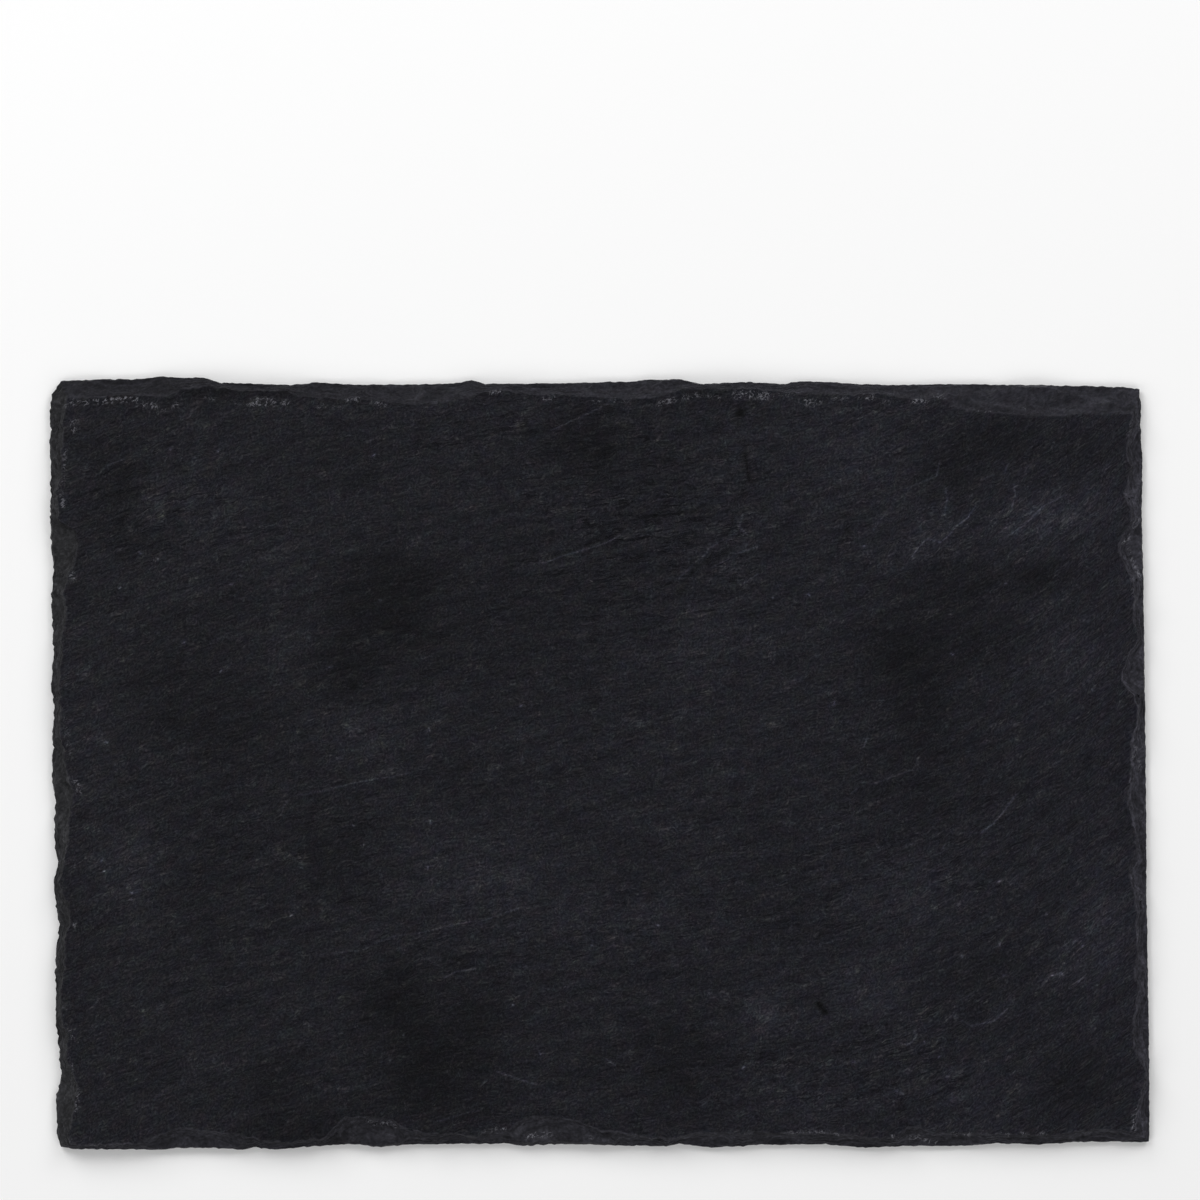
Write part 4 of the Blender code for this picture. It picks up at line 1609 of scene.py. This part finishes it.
def dressed_sides() -> dict[Side, DressedSide]:
    """The four sides of the slab."""
    near = DressedSide(
        Side.NEAR, half_run=176.0, distance=-123.0, raggedness=0.20, pallor=0.74, olive=0.25,
        points=(
            (-176, -123.7), (-171, -124.4), (-143, -124.6), (-130, -123.9), (-115, -124.6), (-111, -123.8),
            (-105, -124.6), (-85, -123.0), (-77, -123.0), (-71, -123.8), (-63, -123.0), (-30, -122.6),
            (-25, -123.3), (-13, -122.8), (12, -123.4), (22, -123.4), (27, -122.8), (36, -124.0),
            (50, -123.1), (72, -122.8), (85, -124.0), (103, -123.3), (117, -123.5), (128, -122.5),
            (141, -123.0), (154, -122.1), (176, -122.1),
        ),
        crest_points=(
            (-176, 2.0), (-160, 1.8), (-149, 2.2), (-143, 4.2), (-135, 6.5), (-125, 5.3), (-115, 4.8),
            (-109, 2.8), (-104, 3.0), (-100, 2.2), (-88, 2.9), (-85, 6.5), (-82, 9.0), (-74, 9.3),
            (-67, 8.7), (-63, 6.0), (-56, 3.7), (-48, 4.2), (-40, 2.8), (-34, 5.0), (-29, 5.1), (-26, 8.0),
            (-21, 9.6), (-13, 9.0), (-7, 7.8), (0, 5.2), (8, 4.5), (14, 3.3), (25, 2.6), (31, 4.6),
            (40, 4.9), (46, 3.8), (50, 4.6), (62, 4.0), (80, 4.0), (90, 3.3), (96, 3.4), (99, 6.3),
            (103, 6.3), (107, 4.8), (118, 4.8), (124, 3.8), (145, 3.4), (153, 3.9), (160, 4.6), (176, 4.0),
        ),
        scars=scars(
            (-160, 11, 2.6, 4.0), (-131, 18, 6.2, 3.0), (-99, 14, 3.0, 4.2), (-73, 12, 8.7, 2.6),
            (-45, 10, 4.0, 4.2), (-11, 19, 9.0, 2.2), (14, 7, 3.8, 4.0), (32, 13, 5.0, 4.1),
            (58, 13, 4.0, 4.2), (84, 13, 3.3, 4.2), (113, 15, 3.6, 4.1), (139, 10, 2.8, 4.0),
            (161, 12, 4.2, 4.2),
        ),
        bruises=bruises(
            (-75, -65, 0.8, -1.5), (-38, -29, 0.7, 0.1), (-24, -15, 1.0, -6.0), (-4, -2, 0.8, -3.6),
            (48, 51, 0.6, 0.0), (60, 78, 0.6, 0.4), (93, 97, 0.9, 0.1), (99, 110, 0.9, -3.4),
            (113, 120, 0.8, -0.6), (129, 132, 1.0, -0.2), (135, 138, 0.8, 0.1), (140, 144, 0.7, 0.4),
        ),
    )
    right = DressedSide(
        Side.RIGHT, half_run=123.0, distance=176.0, raggedness=0.14, pallor=1.0, olive=0.0,
        points=(
            (-122, 177.3), (-98, 177.3), (-70, 176.9), (-42, 176.4), (-10, 176.3), (20, 175.9),
            (60, 175.4), (80, 174.9), (97, 175.1), (109, 174.4), (117, 174.8), (121, 174.1),
        ),
        crest_points=(
            (-123, 4.5), (-116, 4.8), (-108, 3.4), (-104, 2.3), (-99, 1.6), (-96, 3.2), (-92, 5.0),
            (-82, 5.2), (-78, 4.5), (-73, 3.8), (-67, 4.6), (-59, 3.4), (-54, 3.8), (-42, 4.0), (-36, 6.0),
            (-33, 5.5), (-29, 4.0), (-24, 3.6), (-18, 5.2), (-12, 6.5), (-6, 5.6), (-2, 5.0), (4, 5.6),
            (8, 4.7), (12, 3.2), (18, 2.6), (22, 4.5), (26, 7.6), (29, 7.7), (36, 5.0), (40, 2.2),
            (47, 4.0), (52, 3.4), (57, 3.5), (62, 6.0), (68, 8.5), (71, 8.6), (75, 6.2), (79, 3.4),
            (83, 4.8), (87, 6.8), (91, 5.8), (95, 4.3), (100, 5.8), (105, 4.6), (111, 3.2), (123, 4.0),
        ),
        scars=scars(
            (-109, 11, 3.8, 4.1), (-84, 14, 4.5, 4.3), (-57, 13, 4.0, 4.2), (-37, 8, 5.6, 3.9),
            (-25, 6, 3.3, 4.0), (-5, 15, 5.3, 4.2), (16, 7, 3.0, 4.0), (31, 10, 7.7, 3.2),
            (52, 5, 3.2, 3.8), (69, 11, 8.5, 3.4), (98, 14, 5.8, 4.2),
        ),
        bruises=bruises(
            (-120, -110, 0.8, 0.4), (-45, -41, 0.7, -1.8), (-21, -17, 0.9, -2.6), (-3, 1, 1.0, -3.2),
            (1, 6, 1.0, -1.6), (52, 57, 0.5, 0.6), (58, 61, 0.7, -0.6),
            (70, 79, 1.3, -2.2, 1.1), (59, 70, 0.9, -3.8, 0.9), (104, 110, 0.5, 0.2),
        ),
    )
    far = DressedSide(
        Side.FAR, half_run=176.0, distance=123.0, raggedness=0.18, pallor=0.47, olive=0.1,
        points=(
            (-176, 123.2), (-160, 123.8), (-149, 123.8), (-141, 124.7), (-135, 124.3), (-128, 124.2),
            (-122, 122.7), (-113, 122.4), (-100, 121.9), (-91, 122.8), (-80, 122.0), (-62, 122.1),
            (-47, 122.4), (-41, 123.5), (-37, 122.3), (-12, 122.5), (8, 123.0), (17, 123.7),
            (27, 123.6), (33, 122.2), (46, 122.9), (60, 122.3), (65, 123.2), (78, 122.6),
            (92, 121.9), (116, 122.2), (140, 121.9), (160, 121.5), (171, 121.2), (176, 120.6),
        ),
        crest_points=(
            (-176, 6.0), (-170, 5.8), (-158, 5.5), (-152, 4.8), (-147, 5.3), (-142, 6.0), (-137, 5.0),
            (-134, 3.5), (-129, 3.2), (-126, 2.0), (-121, 1.7), (-116, 2.7), (-108, 2.2), (-101, 2.0),
            (-97, 4.0), (-92, 5.0), (-81, 5.2), (-76, 4.6), (-68, 6.0), (-60, 6.8), (-50, 6.2), (-41, 5.0),
            (-36, 2.6), (-31, 2.4), (-21, 3.9), (-14, 3.6), (-3, 5.0), (8, 5.6), (16, 5.7), (21, 4.9),
            (27, 2.8), (33, 1.6), (42, 2.2), (50, 2.3), (60, 3.0), (66, 4.2), (80, 4.0), (90, 3.2),
            (98, 4.6), (106, 4.9), (110, 5.0), (114, 8.0), (118, 9.0), (130, 9.8), (140, 10.8),
            (148, 10.6), (153, 10.1), (166, 10.1), (176, 9.5),
        ),
        scars=scars(
            (-153, 19, 6.6, 4.2), (-116, 16, 2.4, 4.0), (-87, 12, 4.6, 4.2), (-66, 12, 5.2, 4.3),
            (-16, 19, 3.8, 4.4), (6, 12, 5.2, 4.2), (25, 8, 6.0, 3.6), (48, 16, 2.4, 4.0),
            (76, 12, 2.6, 3.8), (99, 12, 3.2, 4.0), (124, 16, 3.4, 4.1), (141, 31, 10.5, 2.2),
            (158, 18, 4.0, 4.3),
        ),
        bruises=bruises(
            (-172, -168, 0.8, 1.9), (-168, -148, 1.0, 1.3), (-148, -142, 1.0, 2.8), (-142, -138, 0.6, 4.0),
            (-138, -134, 0.9, 3.7), (-127, -123, 0.6, 4.0), (-118, -115, 0.5, 4.5),
            (-113, -104, 0.9, 4.0, 1.7), (-104, -99, 0.9, 4.0, 1.2), (-91, -88, 0.8, 2.4),
            (-86, -83, 0.6, 2.6), (-82, -76, 0.9, 0.3),
            (-74, -68, 0.7, 1.2), (-36, -31, 0.9, 0.3), (-27, -23, 0.4, 2.8), (-19, -14, 0.9, 1.2),
            (-3, 1, 0.6, 1.2), (3, 10, 0.5, 0.6), (18, 25, 0.9, 2.3), (25, 30, 0.8, 2.8), (30, 33, 0.9, 2.0),
            (34, 40, 0.6, 2.8), (43, 56, 1.0, 1.8, 1.5), (57, 63, 0.5, 0.8), (64, 72, 0.7, 2.6, 1.8),
            (74, 80, 0.6, 1.2), (83, 89, 0.8, 0.8, 1.5), (91, 94, 0.8, 2.4), (100, 106, 1.0, 0.9),
            (107, 111, 1.0, -0.9), (120, 127, 0.7, 0.0, 0.5), (135, 138, 0.6, -2.2),
        ),
    )
    left = DressedSide(
        Side.LEFT, half_run=123.0, distance=-176.0, raggedness=0.42, pallor=0.88, olive=1.0,
        points=(
            (-124, -173.4), (-119, -175.0), (-106, -175.1), (-102, -173.6), (-93, -174.1), (-86, -175.2),
            (-66, -175.5), (-58, -174.9), (-52, -174.2), (-44, -175.7), (-38, -176.0), (-33, -174.6),
            (-24, -175.9), (-14, -175.4), (-4, -176.6), (8, -176.3), (18, -175.9), (25, -176.9),
            (35, -176.0), (52, -176.8), (63, -176.0), (72, -177.0), (95, -177.1), (106, -177.2),
            (115, -177.2), (119, -176.3), (123, -174.0),
        ),
        crest_points=(
            (-123, 4.5), (-118, 4.5), (-114, 5.6), (-108, 7.0), (-105, 7.4), (-102, 6.0), (-99, 4.3),
            (-93, 2.8), (-88, 4.0), (-82, 2.3), (-78, 2.6), (-73, 1.9), (-68, 3.4), (-60, 3.4), (-56, 2.8),
            (-50, 5.0), (-44, 4.5), (-40, 2.3), (-31, 2.7), (-27, 4.5), (-20, 5.1), (-12, 6.4), (-9, 7.0),
            (-3, 5.3), (4, 4.0), (10, 2.9), (20, 2.6), (24, 3.2), (40, 3.2), (46, 4.9), (50, 5.3),
            (55, 4.1), (60, 5.7), (66, 7.8), (71, 9.3), (75, 8.2), (78, 3.3), (84, 3.1), (87, 2.4),
            (92, 3.6), (104, 4.4), (110, 4.2), (115, 5.6), (123, 5.8),
        ),
        scars=scars(
            (-107, 11, 5.0, 4.1), (-88, 8, 5.4, 3.9), (-72, 8, 3.5, 4.2), (-54, 10, 3.8, 4.1),
            (-33, 11, 4.2, 4.2), (-13, 9, 6.3, 3.6), (3, 7, 4.0, 4.1), (24, 13, 3.0, 4.2),
            (48, 12, 4.2, 4.2), (72, 12, 8.4, 2.8), (92, 9, 3.8, 4.2), (109, 10, 4.0, 4.1),
        ),
        bruises=bruises(
            (-121, -118, 0.6, 0.2), (-113, -104, 0.6, 0.6), (-99, -94, 0.6, 0.8), (-89, -85, 0.8, 1.6),
            (-81, -78, 1.0, 0.9), (-54, -51, 0.9, 1.6), (-35, -30, 0.6, 3.4, 1.4), (-10, -4, 0.8, 1.6, 1.3),
            (2, 16, 0.45, 1.8, 1.6), (22, 34, 0.35, 2.0, 1.4), (58, 62, 0.8, 1.0, 1.3), (82, 88, 0.8, 1.2),
            (90, 103, 0.6, 1.0), (106, 111, 0.7, 3.0, 1.5), (115, 118, 0.7, 1.2),
        ),
    )
    return {edge.side: edge for edge in (near, right, far, left)}


def slate_slab() -> SlateSlab:
    """The slab with its sides, spalls and patches."""
    return SlateSlab(
        node="slate_slab",
        slot="slate",
        sides=dressed_sides(),
        face_spalls=spalls(
            (46, -28.5, 9, 4.5, 10, 0.4), (122, -79.5, 9.5, 4.6, 190, 0.4), (137, 84, 13, 6, 215, 0.45),
            (-46, -64.5, 7, 4, 195, 0.4), (40, 69.5, 7, 3.4, 205, 0.35),
        ),
        small_spalls=spalls(
            (70.5, -28, 5, 2.3, 190, 0.22), (98, -24.5, 5.5, 2.6, 190, 0.22), (99, -87.5, 4, 3, 190, 0.20),
            (70, 2.5, 3, 2, 20, 0.20), (-66, -71, 7.5, 3.0, 10, 0.25), (99, 1.5, 3.6, 1.8, 10, 0.18),
        ),
        back_spalls=spalls(
            (-105, 55, 34, 19, 18, 0.80), (88, 66, 40, 17, 192, 0.70), (-88, -62, 42, 18, 10, 0.85),
            (52, -58, 26, 20, 160, 0.60), (128, -34, 26, 20, 75, 0.70), (-20, 76, 24, 13, 14, 0.60),
            (-142, -6, 24, 14, 260, 0.65),
        ),
        patches=patches(
            (-66, 58, 16, 11, 15, -0.19), (-62, 44, 13, 9, -30, -0.14), (-80, 31, 11, 11, 30, -0.15),
            (-155, 88, 9, 17, 10, -0.13), (-124, 14, 24, 14, -15, -0.12), (-136, 30, 12, 9, 10, -0.06),
            (-86, -28, 15, 20, 0, -0.10), (-2, 103, 16, 11, 10, -0.19), (22, 92, 14, 9, 20, -0.06),
            (-66, -75, 11, 10, 0, -0.20), (-54, -98, 17, 18, 10, -0.23), (-38, -82, 9, 12, 0, -0.10),
            (-104, -103, 9, 8, 0, -0.15), (-96, -116, 18, 6, 5, -0.14), (25, -97, 14, 17, 0, -0.13),
            (-8, -97, 11, 10, 0, -0.07), (154, -103, 13, 9, 0, -0.15), (122, -67, 20, 7, 20, -0.09),
            (98, 36, 14, 12, 10, -0.20), (104, 17, 10, 12, 0, -0.15), (113, 58, 16, 8, 20, -0.13),
            (141, 60, 9, 5, 0, -0.20), (122, 43, 12, 11, 0, -0.11), (105, -5, 26, 13, 0, -0.07),
            (128, 104, 19, 8, 5, -0.14), (113, 93, 9, 7, 0, -0.13), (157, 99, 10, 7, 0, -0.08),
            (60, -44, 13, 13, 0, -0.06), (-20, 52, 32, 22, 0, -0.06), (-128, 44, 20, 8, 15, -0.05),
            (-40, -4, 16, 8, 0, -0.05), (-80, 98, 34, 9, 0, -0.06), (10, 60, 18, 8, 0, -0.04),
            (147, 80, 24, 9, 14, 0.14), (104, 72, 13, 9, 20, 0.08), (160, -55, 12, 20, 0, 0.12),
            (153, 34, 12, 15, 0, 0.07), (82, 99, 17, 14, 0, 0.08), (-130, 84, 18, 14, 0, 0.06),
            (-151, -33, 14, 12, 0, 0.11), (-38, -38, 28, 13, -10, 0.10), (52, -81, 8, 6, 0, 0.14),
            (88, -73, 17, 11, 10, 0.10), (100, -42, 22, 13, 0, 0.08), (8, -50, 20, 9, 0, 0.06),
            (122, -106, 14, 9, 0, 0.09), (66, -109, 14, 7, 0, 0.07), (-76, 10, 14, 10, 0, 0.08),
            (34, 36, 20, 16, 0, 0.04), (-162, 12, 8, 20, 0, 0.05), (-80, 50, 7, 14, 20, -0.06),
            (-135, 122, 46, 5, 0, -0.20), (-60, 122, 32, 5, 0, -0.11), (32, 122, 22, 5, 0, -0.11),
            (75, 121, 10, 4, 0, -0.06), (-82, -121, 12, 4, 0, -0.10), (-14, -121, 16, 5, 0, -0.07),
            (120, -121, 16, 4, 0, 0.08), (-168, -121, 8, 4, 0, 0.06), (14, -121, 8, 4, 0, 0.05),
            (-174, -105, 4, 16, 0, 0.05), (-174, 8, 3, 9, 0, 0.06), (174, -2, 4, 14, 0, 0.06),
            (-172, 68, 5, 9, 0, -0.12), (-126, -42, 14, 22, 0, -0.05), (-50, 30, 40, 16, 0, -0.03),
        ),
        flaky=patches(
            (130, 84, 34, 18, 20, 0.7), (127, 75, 4, 3, 20, 1.8), (150, 77, 5, 3, 20, 1.8),
            (156, 67, 3, 3, 0, 1.8), (-145, 83, 5, 6, 0, 1.8), (-28, -75, 3, 4, 0, 1.6),
            (47, -99, 5, 3, 0, 1.6), (-151, -42, 5, 3, 0, 1.6), (146, -68, 6, 3, 10, 1.6),
            (129, -57, 5, 2, 20, 1.6), (44, 66, 5, 5, 0, 1.6), (52, -80, 6, 4, 0, 1.6),
            (85, 70, 4, 3, 0, 1.4), (-160, -34, 3, 4, 0, 1.4), (-102, -101, 4, 3, 0, 1.2),
            (84, -97, 44, 15, 6, 0.9), (140, -62, 20, 14, 10, 0.6),
        ),
        # Where the creases' painted shade and the ledge's painted highlight and shade are stronger.
        creased=patches(
            (16, 76, 36, 26, 10, 1.0), (-142, 84, 26, 20, 12, 0.6), (-30, 108, 24, 8, 10, 0.6),
            (104, -30, 40, 20, 12, 0.4), (-20, -60, 60, 20, 8, 0.3), (-120, -20, 40, 24, 5, 0.3),
            (82, -98, 46, 15, 6, 0.5),
        ),
        marks=pale_lines() + painted_shade_marks() + flecks(),
    )


def pale_lines() -> tuple[Mark, ...]:
    """The pale edges of thin layers on the face: rows of width, shade and the line's points."""
    height = 0.07
    width_share = 0.75
    lines = (
        (0.40, 2.2, (109.5, 97.5), (108.5, 92.5)),
        (0.40, 1.8, (111.2, 89), (111.8, 85), (111, 80)),
        (0.35, 1.8, (131.4, 96.5), (130.2, 93.5)),
        (0.40, 1.6, (133.3, 90), (133.8, 86), (132.5, 82)),
        (0.35, 1.7, (100.5, 66.5), (102.6, 69.6), (105.5, 72.4), (109.6, 71.2), (112.4, 73.4), (115, 76.6),
         (118.4, 79), (121, 83)),
        (0.40, 1.5, (-18, 64.4), (-12.3, 66.7), (-6.6, 68.3), (1, 70.5), (6.6, 73.4)),
        (0.40, 1.3, (25.6, 59.7), (30.3, 64.4), (34.1, 67.2), (35, 69.1), (39.8, 72)),
        (0.40, 1.4, (4.7, 117), (-3.8, 112.7), (-16, 107)),
        (0.35, 0.9, (-10.4, 101.3), (-7.6, 103.7), (-2.8, 104.7)),
        (0.35, 1.3, (131, 73), (137, 77), (143, 83), (146, 84.5), (150, 86.5)),
        (0.50, 1.0, (98, 88), (107, 92)),
        (0.40, 1.2, (122, 91), (127, 93)),
        (0.35, 0.8, (88, 75), (93, 82)),
        (0.50, 1.4, (46, 80), (45, 76), (47.5, 73.5)),
        (0.40, 1.6, (45.5, 68), (51, 69.8)),
        (0.35, 0.9, (36, 63), (40, 65), (45, 68)),
        (0.40, 1.3, (46.5, 58), (51, 61)),
        (0.35, 2.6, (85, 5.5), (86, 8)),
        (0.40, 1.6, (102.5, 2), (101.8, -0.5)),
        (0.40, 1.3, (81, -9.5), (83.5, -7.5)),
        (0.50, 0.9, (84, -6), (88, -6.6), (96, -3.5), (103, -1.5)),
        (0.35, 0.8, (54.5, -24.5), (52, -31)),
        (0.35, 1.0, (74.5, -26), (74.2, -28.5), (71.5, -30)),
        (0.35, 1.0, (68.5, -37), (69.5, -34.5), (73, -34)),
        (0.35, 1.6, (88.5, -25), (89.8, -27)),
        (0.35, 1.0, (102.5, -22), (101.5, -25.5), (99, -26.5)),
        (0.45, 2.2, (123, -22), (127, -19), (130, -15.5), (134, -10)),
        (0.35, 0.9, (115, -22.4), (123, -22.2)),
        (0.40, 1.5, (114, -81), (117, -83), (119.5, -84.3), (123.5, -83.5), (127, -82.8), (131, -79)),
        (0.40, 1.5, (97, -90), (99.5, -90.3), (102, -88), (101, -86)),
        (0.40, 2.2, (2, -95), (5, -97)),
        (0.35, 1.0, (8, -94), (11, -91)),
        (0.35, 1.0, (57, -39), (61, -37)),
        (0.40, 1.2, (95, -105), (99, -107)),
        (0.45, 1.1, (-102.5, -16.5), (-101.5, -13.5), (-99, -10.5), (-90, -9), (-80, -6.5), (-62, -3.2)),
        (0.35, 0.9, (-96.5, -30), (-95, -35)),
        (0.45, 1.0, (-86, -61), (-76, -60), (-73, -58), (-66, -55.5), (-58, -54.5), (-45, -51.5),
         (-36, -50), (-26, -46.5)),
        (0.35, 1.0, (-55, -63), (-50, -66)),
        (0.45, 1.6, (-50, -69), (-46, -66.8), (-40, -66)),
        (0.35, 1.0, (-144.5, -93), (-143.5, -97)),
        (0.35, 0.9, (-130.5, -98), (-129.5, -101), (-127, -103)),
        (0.40, 1.0, (-143, -108), (-138, -104)),
        (0.35, 0.8, (-147, -79), (-146.5, -83)),
        (0.35, 1.2, (-67.5, -96), (-66.5, -93), (-66, -91)),
        (0.40, 1.2, (-49, -99), (-47, -102), (-44.5, -98)),
        (0.40, 1.4, (-38.5, -104), (-36, -101.5)),
        (0.45, 1.8, (-33, -99), (-26, -101.5), (-21, -103)),
        (0.40, 1.3, (-162, 92.5), (-158, 96), (-153, 98)),
        (0.60, 1.0, (-147, 86), (-143, 84.5)),
        (0.50, 1.1, (-141, 81), (-140.5, 78)),
        (0.40, 0.9, (-105, 33), (-104.5, 38), (-101, 40.5), (-97, 42.5)),
        (0.40, 1.2, (-52.2, -115), (-37, -110.9)),
    )
    return tuple(Mark(tuple(path), width_share * width, height, shade) for width, shade, *path in lines)


def painted_shade_marks() -> tuple[Mark, ...]:
    """The slit, the pits and the dark spots of the face: each is sunk a little, and painted shade darkens it.
    """
    return (
        Mark(((46.8, 99.5), (47.6, 95), (48.2, 91)), 0.40, -0.28, -1.2),
        Mark(((49, 92), (49, 90.5)), 0.35, -0.12, -1.2),
        Mark(((45.3, 112.9),), 1.50, -0.35, -3.2),
        Mark(((17, 79.5), (23.7, 80.3), (30.3, 81), (34, 83.3)), 0.45, -0.12, -1.0),
        Mark(((27, 58.4), (31.6, 63.2), (35.4, 66), (36.4, 68)), 0.45, -0.10, -0.9),
        Mark(((-17, 65.6), (-6.6, 69.6), (1, 71.8), (6.6, 74.6)), 0.40, -0.10, -0.8),
        Mark(((70.5, -77.5), (72.5, -80)), 0.90, -0.35, -3.0),
        Mark(((-79, 25),), 1.60, -0.15, -1.2),
        Mark(((-81, 30.7),), 0.80, -0.10, -1.0),
        Mark(((-31, 7),), 0.90, -0.12, -1.2),
        Mark(((80, 75),), 1.20, -0.10, -1.1),
        Mark(((1.1, 99.5),), 2.00, -0.10, -0.8),
        Mark(((-51, -61.5), (-43, -63.5)), 0.90, -0.10, -0.9),
    )


def flecks() -> tuple[Mark, ...]:
    """The brightest flecks of the face, at these places: short slivers that point every way."""
    places = (
        (55.5, 53.4), (67.5, 54.2), (75.5, 20), (46, -1.5), (131, 58), (113, 35.5), (158.5, 23.5),
        (110.8, -26.5), (128, -38), (144, -48.5), (116.5, -61.7), (128.7, -58.5), (155.5, -58.5),
        (145.3, -68), (149, -68), (154, -70), (109, -94.5), (82.3, -96), (129.8, -68), (104.5, -90),
        (46.5, -97.4), (85, 70), (-79, -20), (-54.5, -18.3), (-76, -26.2), (-159, -34.5), (-151, -41.3),
        (-150.5, -43.8), (-160, -31), (-99.5, -49), (-2.5, -58.5), (-19.3, -93), (-55.3, -34),
        (-63, -87.2), (-28, -77.5), (-147.5, 67.5), (-142, 66), (-154.5, 56.3), (-118, 57.7),
        (-115.5, 60.5), (-133.5, 38.7), (-121.5, 30.3), (-87, 31), (-70.3, 52.5), (-55, 11.5),
        (-20.3, 29.1), (-25, 18.7), (-159, 7), (-138, 101), (-122.5, 101), (-73, 99), (19, -52),
    )
    shortest, half_width, height, shade = 0.3, 0.30, 0.02, 3.2
    turn = 2.4

    def sliver(index: int, x: float, y: float) -> Mark:
        """One fleck, of one of three lengths, turned on from the one before."""
        length = shortest + shortest * (index % 3)
        tip = (x + length * math.cos(turn * index), y + length * math.sin(turn * index))
        return Mark(((x, y), tip), half_width, height, shade)

    return tuple(sliver(index, *place) for index, place in enumerate(places))


def main() -> None:
    """Builds the slab and the studio in order."""
    logging.basicConfig(level=logging.INFO, format="%(name)s: %(message)s")
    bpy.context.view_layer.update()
    slab = slate_slab()
    piece = slab.build()
    slab.dress(piece, SlateFinish())
    Studio().build()


if __name__ == "__main__":
    main()
